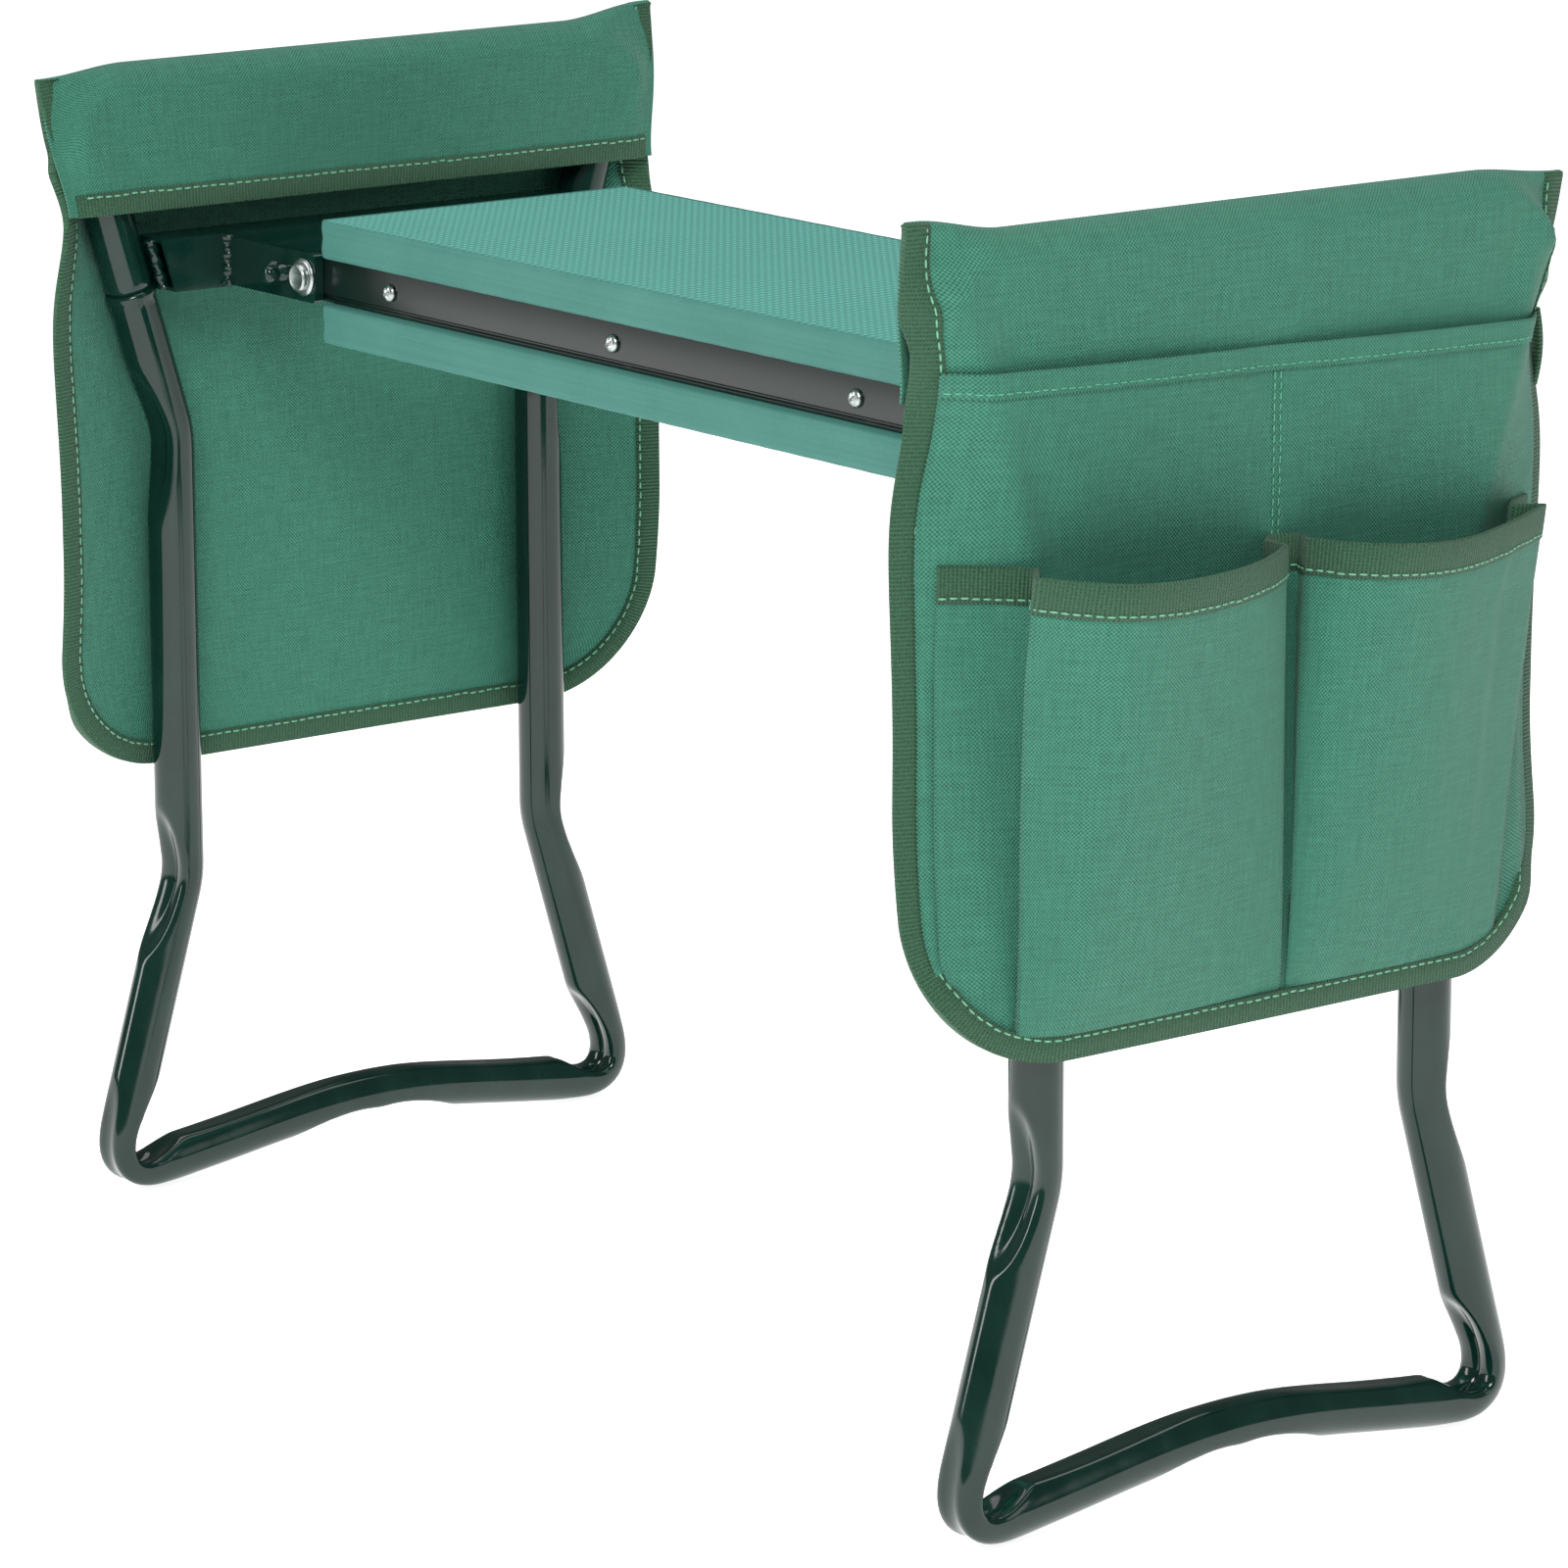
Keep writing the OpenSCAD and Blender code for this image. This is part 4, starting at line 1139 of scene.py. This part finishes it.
floor = make("floor", [(-14, -14, -0.0005), (14, -14, -0.0005), (14, 14, -0.0005), (-14, 14, -0.0005)],
             [[0, 1, 2, 3]], stage_material())


def aim(obj, position, target):
    from mathutils import Vector
    obj.location = position
    obj.rotation_euler = (Vector(target) - Vector(position)).to_track_quat("-Z", "Y").to_euler()


def softbox(name, position, target, size, power):
    light = bpy.data.lights.new(name, "AREA")
    light.shape = "RECTANGLE"
    light.size, light.size_y, light.energy = size[0], size[1], power
    obj = bpy.data.objects.new(name, light)
    bpy.context.scene.collection.objects.link(obj)
    aim(obj, position, target)


softbox("key", (1.70, -1.70, 2.30), (0.1, 0, 0.28), (1.0, 1.2), 66)
softbox("side", (2.6, 1.0, 1.3), (0, 0, 0.25), (0.7, 1.9), 8)
softbox("left", (-1.6, -2.4, 1.2), (0, 0, 0.25), (0.5, 1.8), 22)
softbox("top", (-0.3, 0.3, 3.2), (0, 0, 0.2), (2.6, 2.6), 50)

world = bpy.data.worlds.new("studio")
world.use_nodes = True
world.node_tree.nodes["Background"].inputs["Color"].default_value = (1, 1, 1, 1)
world.node_tree.nodes["Background"].inputs["Strength"].default_value = 0.15
bpy.context.scene.world = world
bpy.context.scene.view_settings.view_transform = "Standard"

CAMERA_AT = (2.1034, -1.5887, 0.83364)
YAW, PITCH, ROLL = (math.radians(a) for a in (-52.76, -13.29, -0.14))
ahead = np.array([math.sin(YAW) * math.cos(PITCH), math.cos(YAW) * math.cos(PITCH), math.sin(PITCH)])
beside = np.array([math.cos(YAW), -math.sin(YAW), 0.0])
above = np.cross(beside, ahead)
right = math.cos(ROLL) * beside + math.sin(ROLL) * above
up = -math.sin(ROLL) * beside + math.cos(ROLL) * above
data = bpy.data.cameras.new("camera")
data.sensor_width, data.lens, data.clip_end = 36.0, 158.2, 60.0
camera = bpy.data.objects.new("camera", data)
bpy.context.scene.collection.objects.link(camera)
rows = [[right[i], up[i], -ahead[i], CAMERA_AT[i]] for i in range(3)]
camera.matrix_world = Matrix(rows + [[0, 0, 0, 1]])
bpy.context.scene.camera = camera
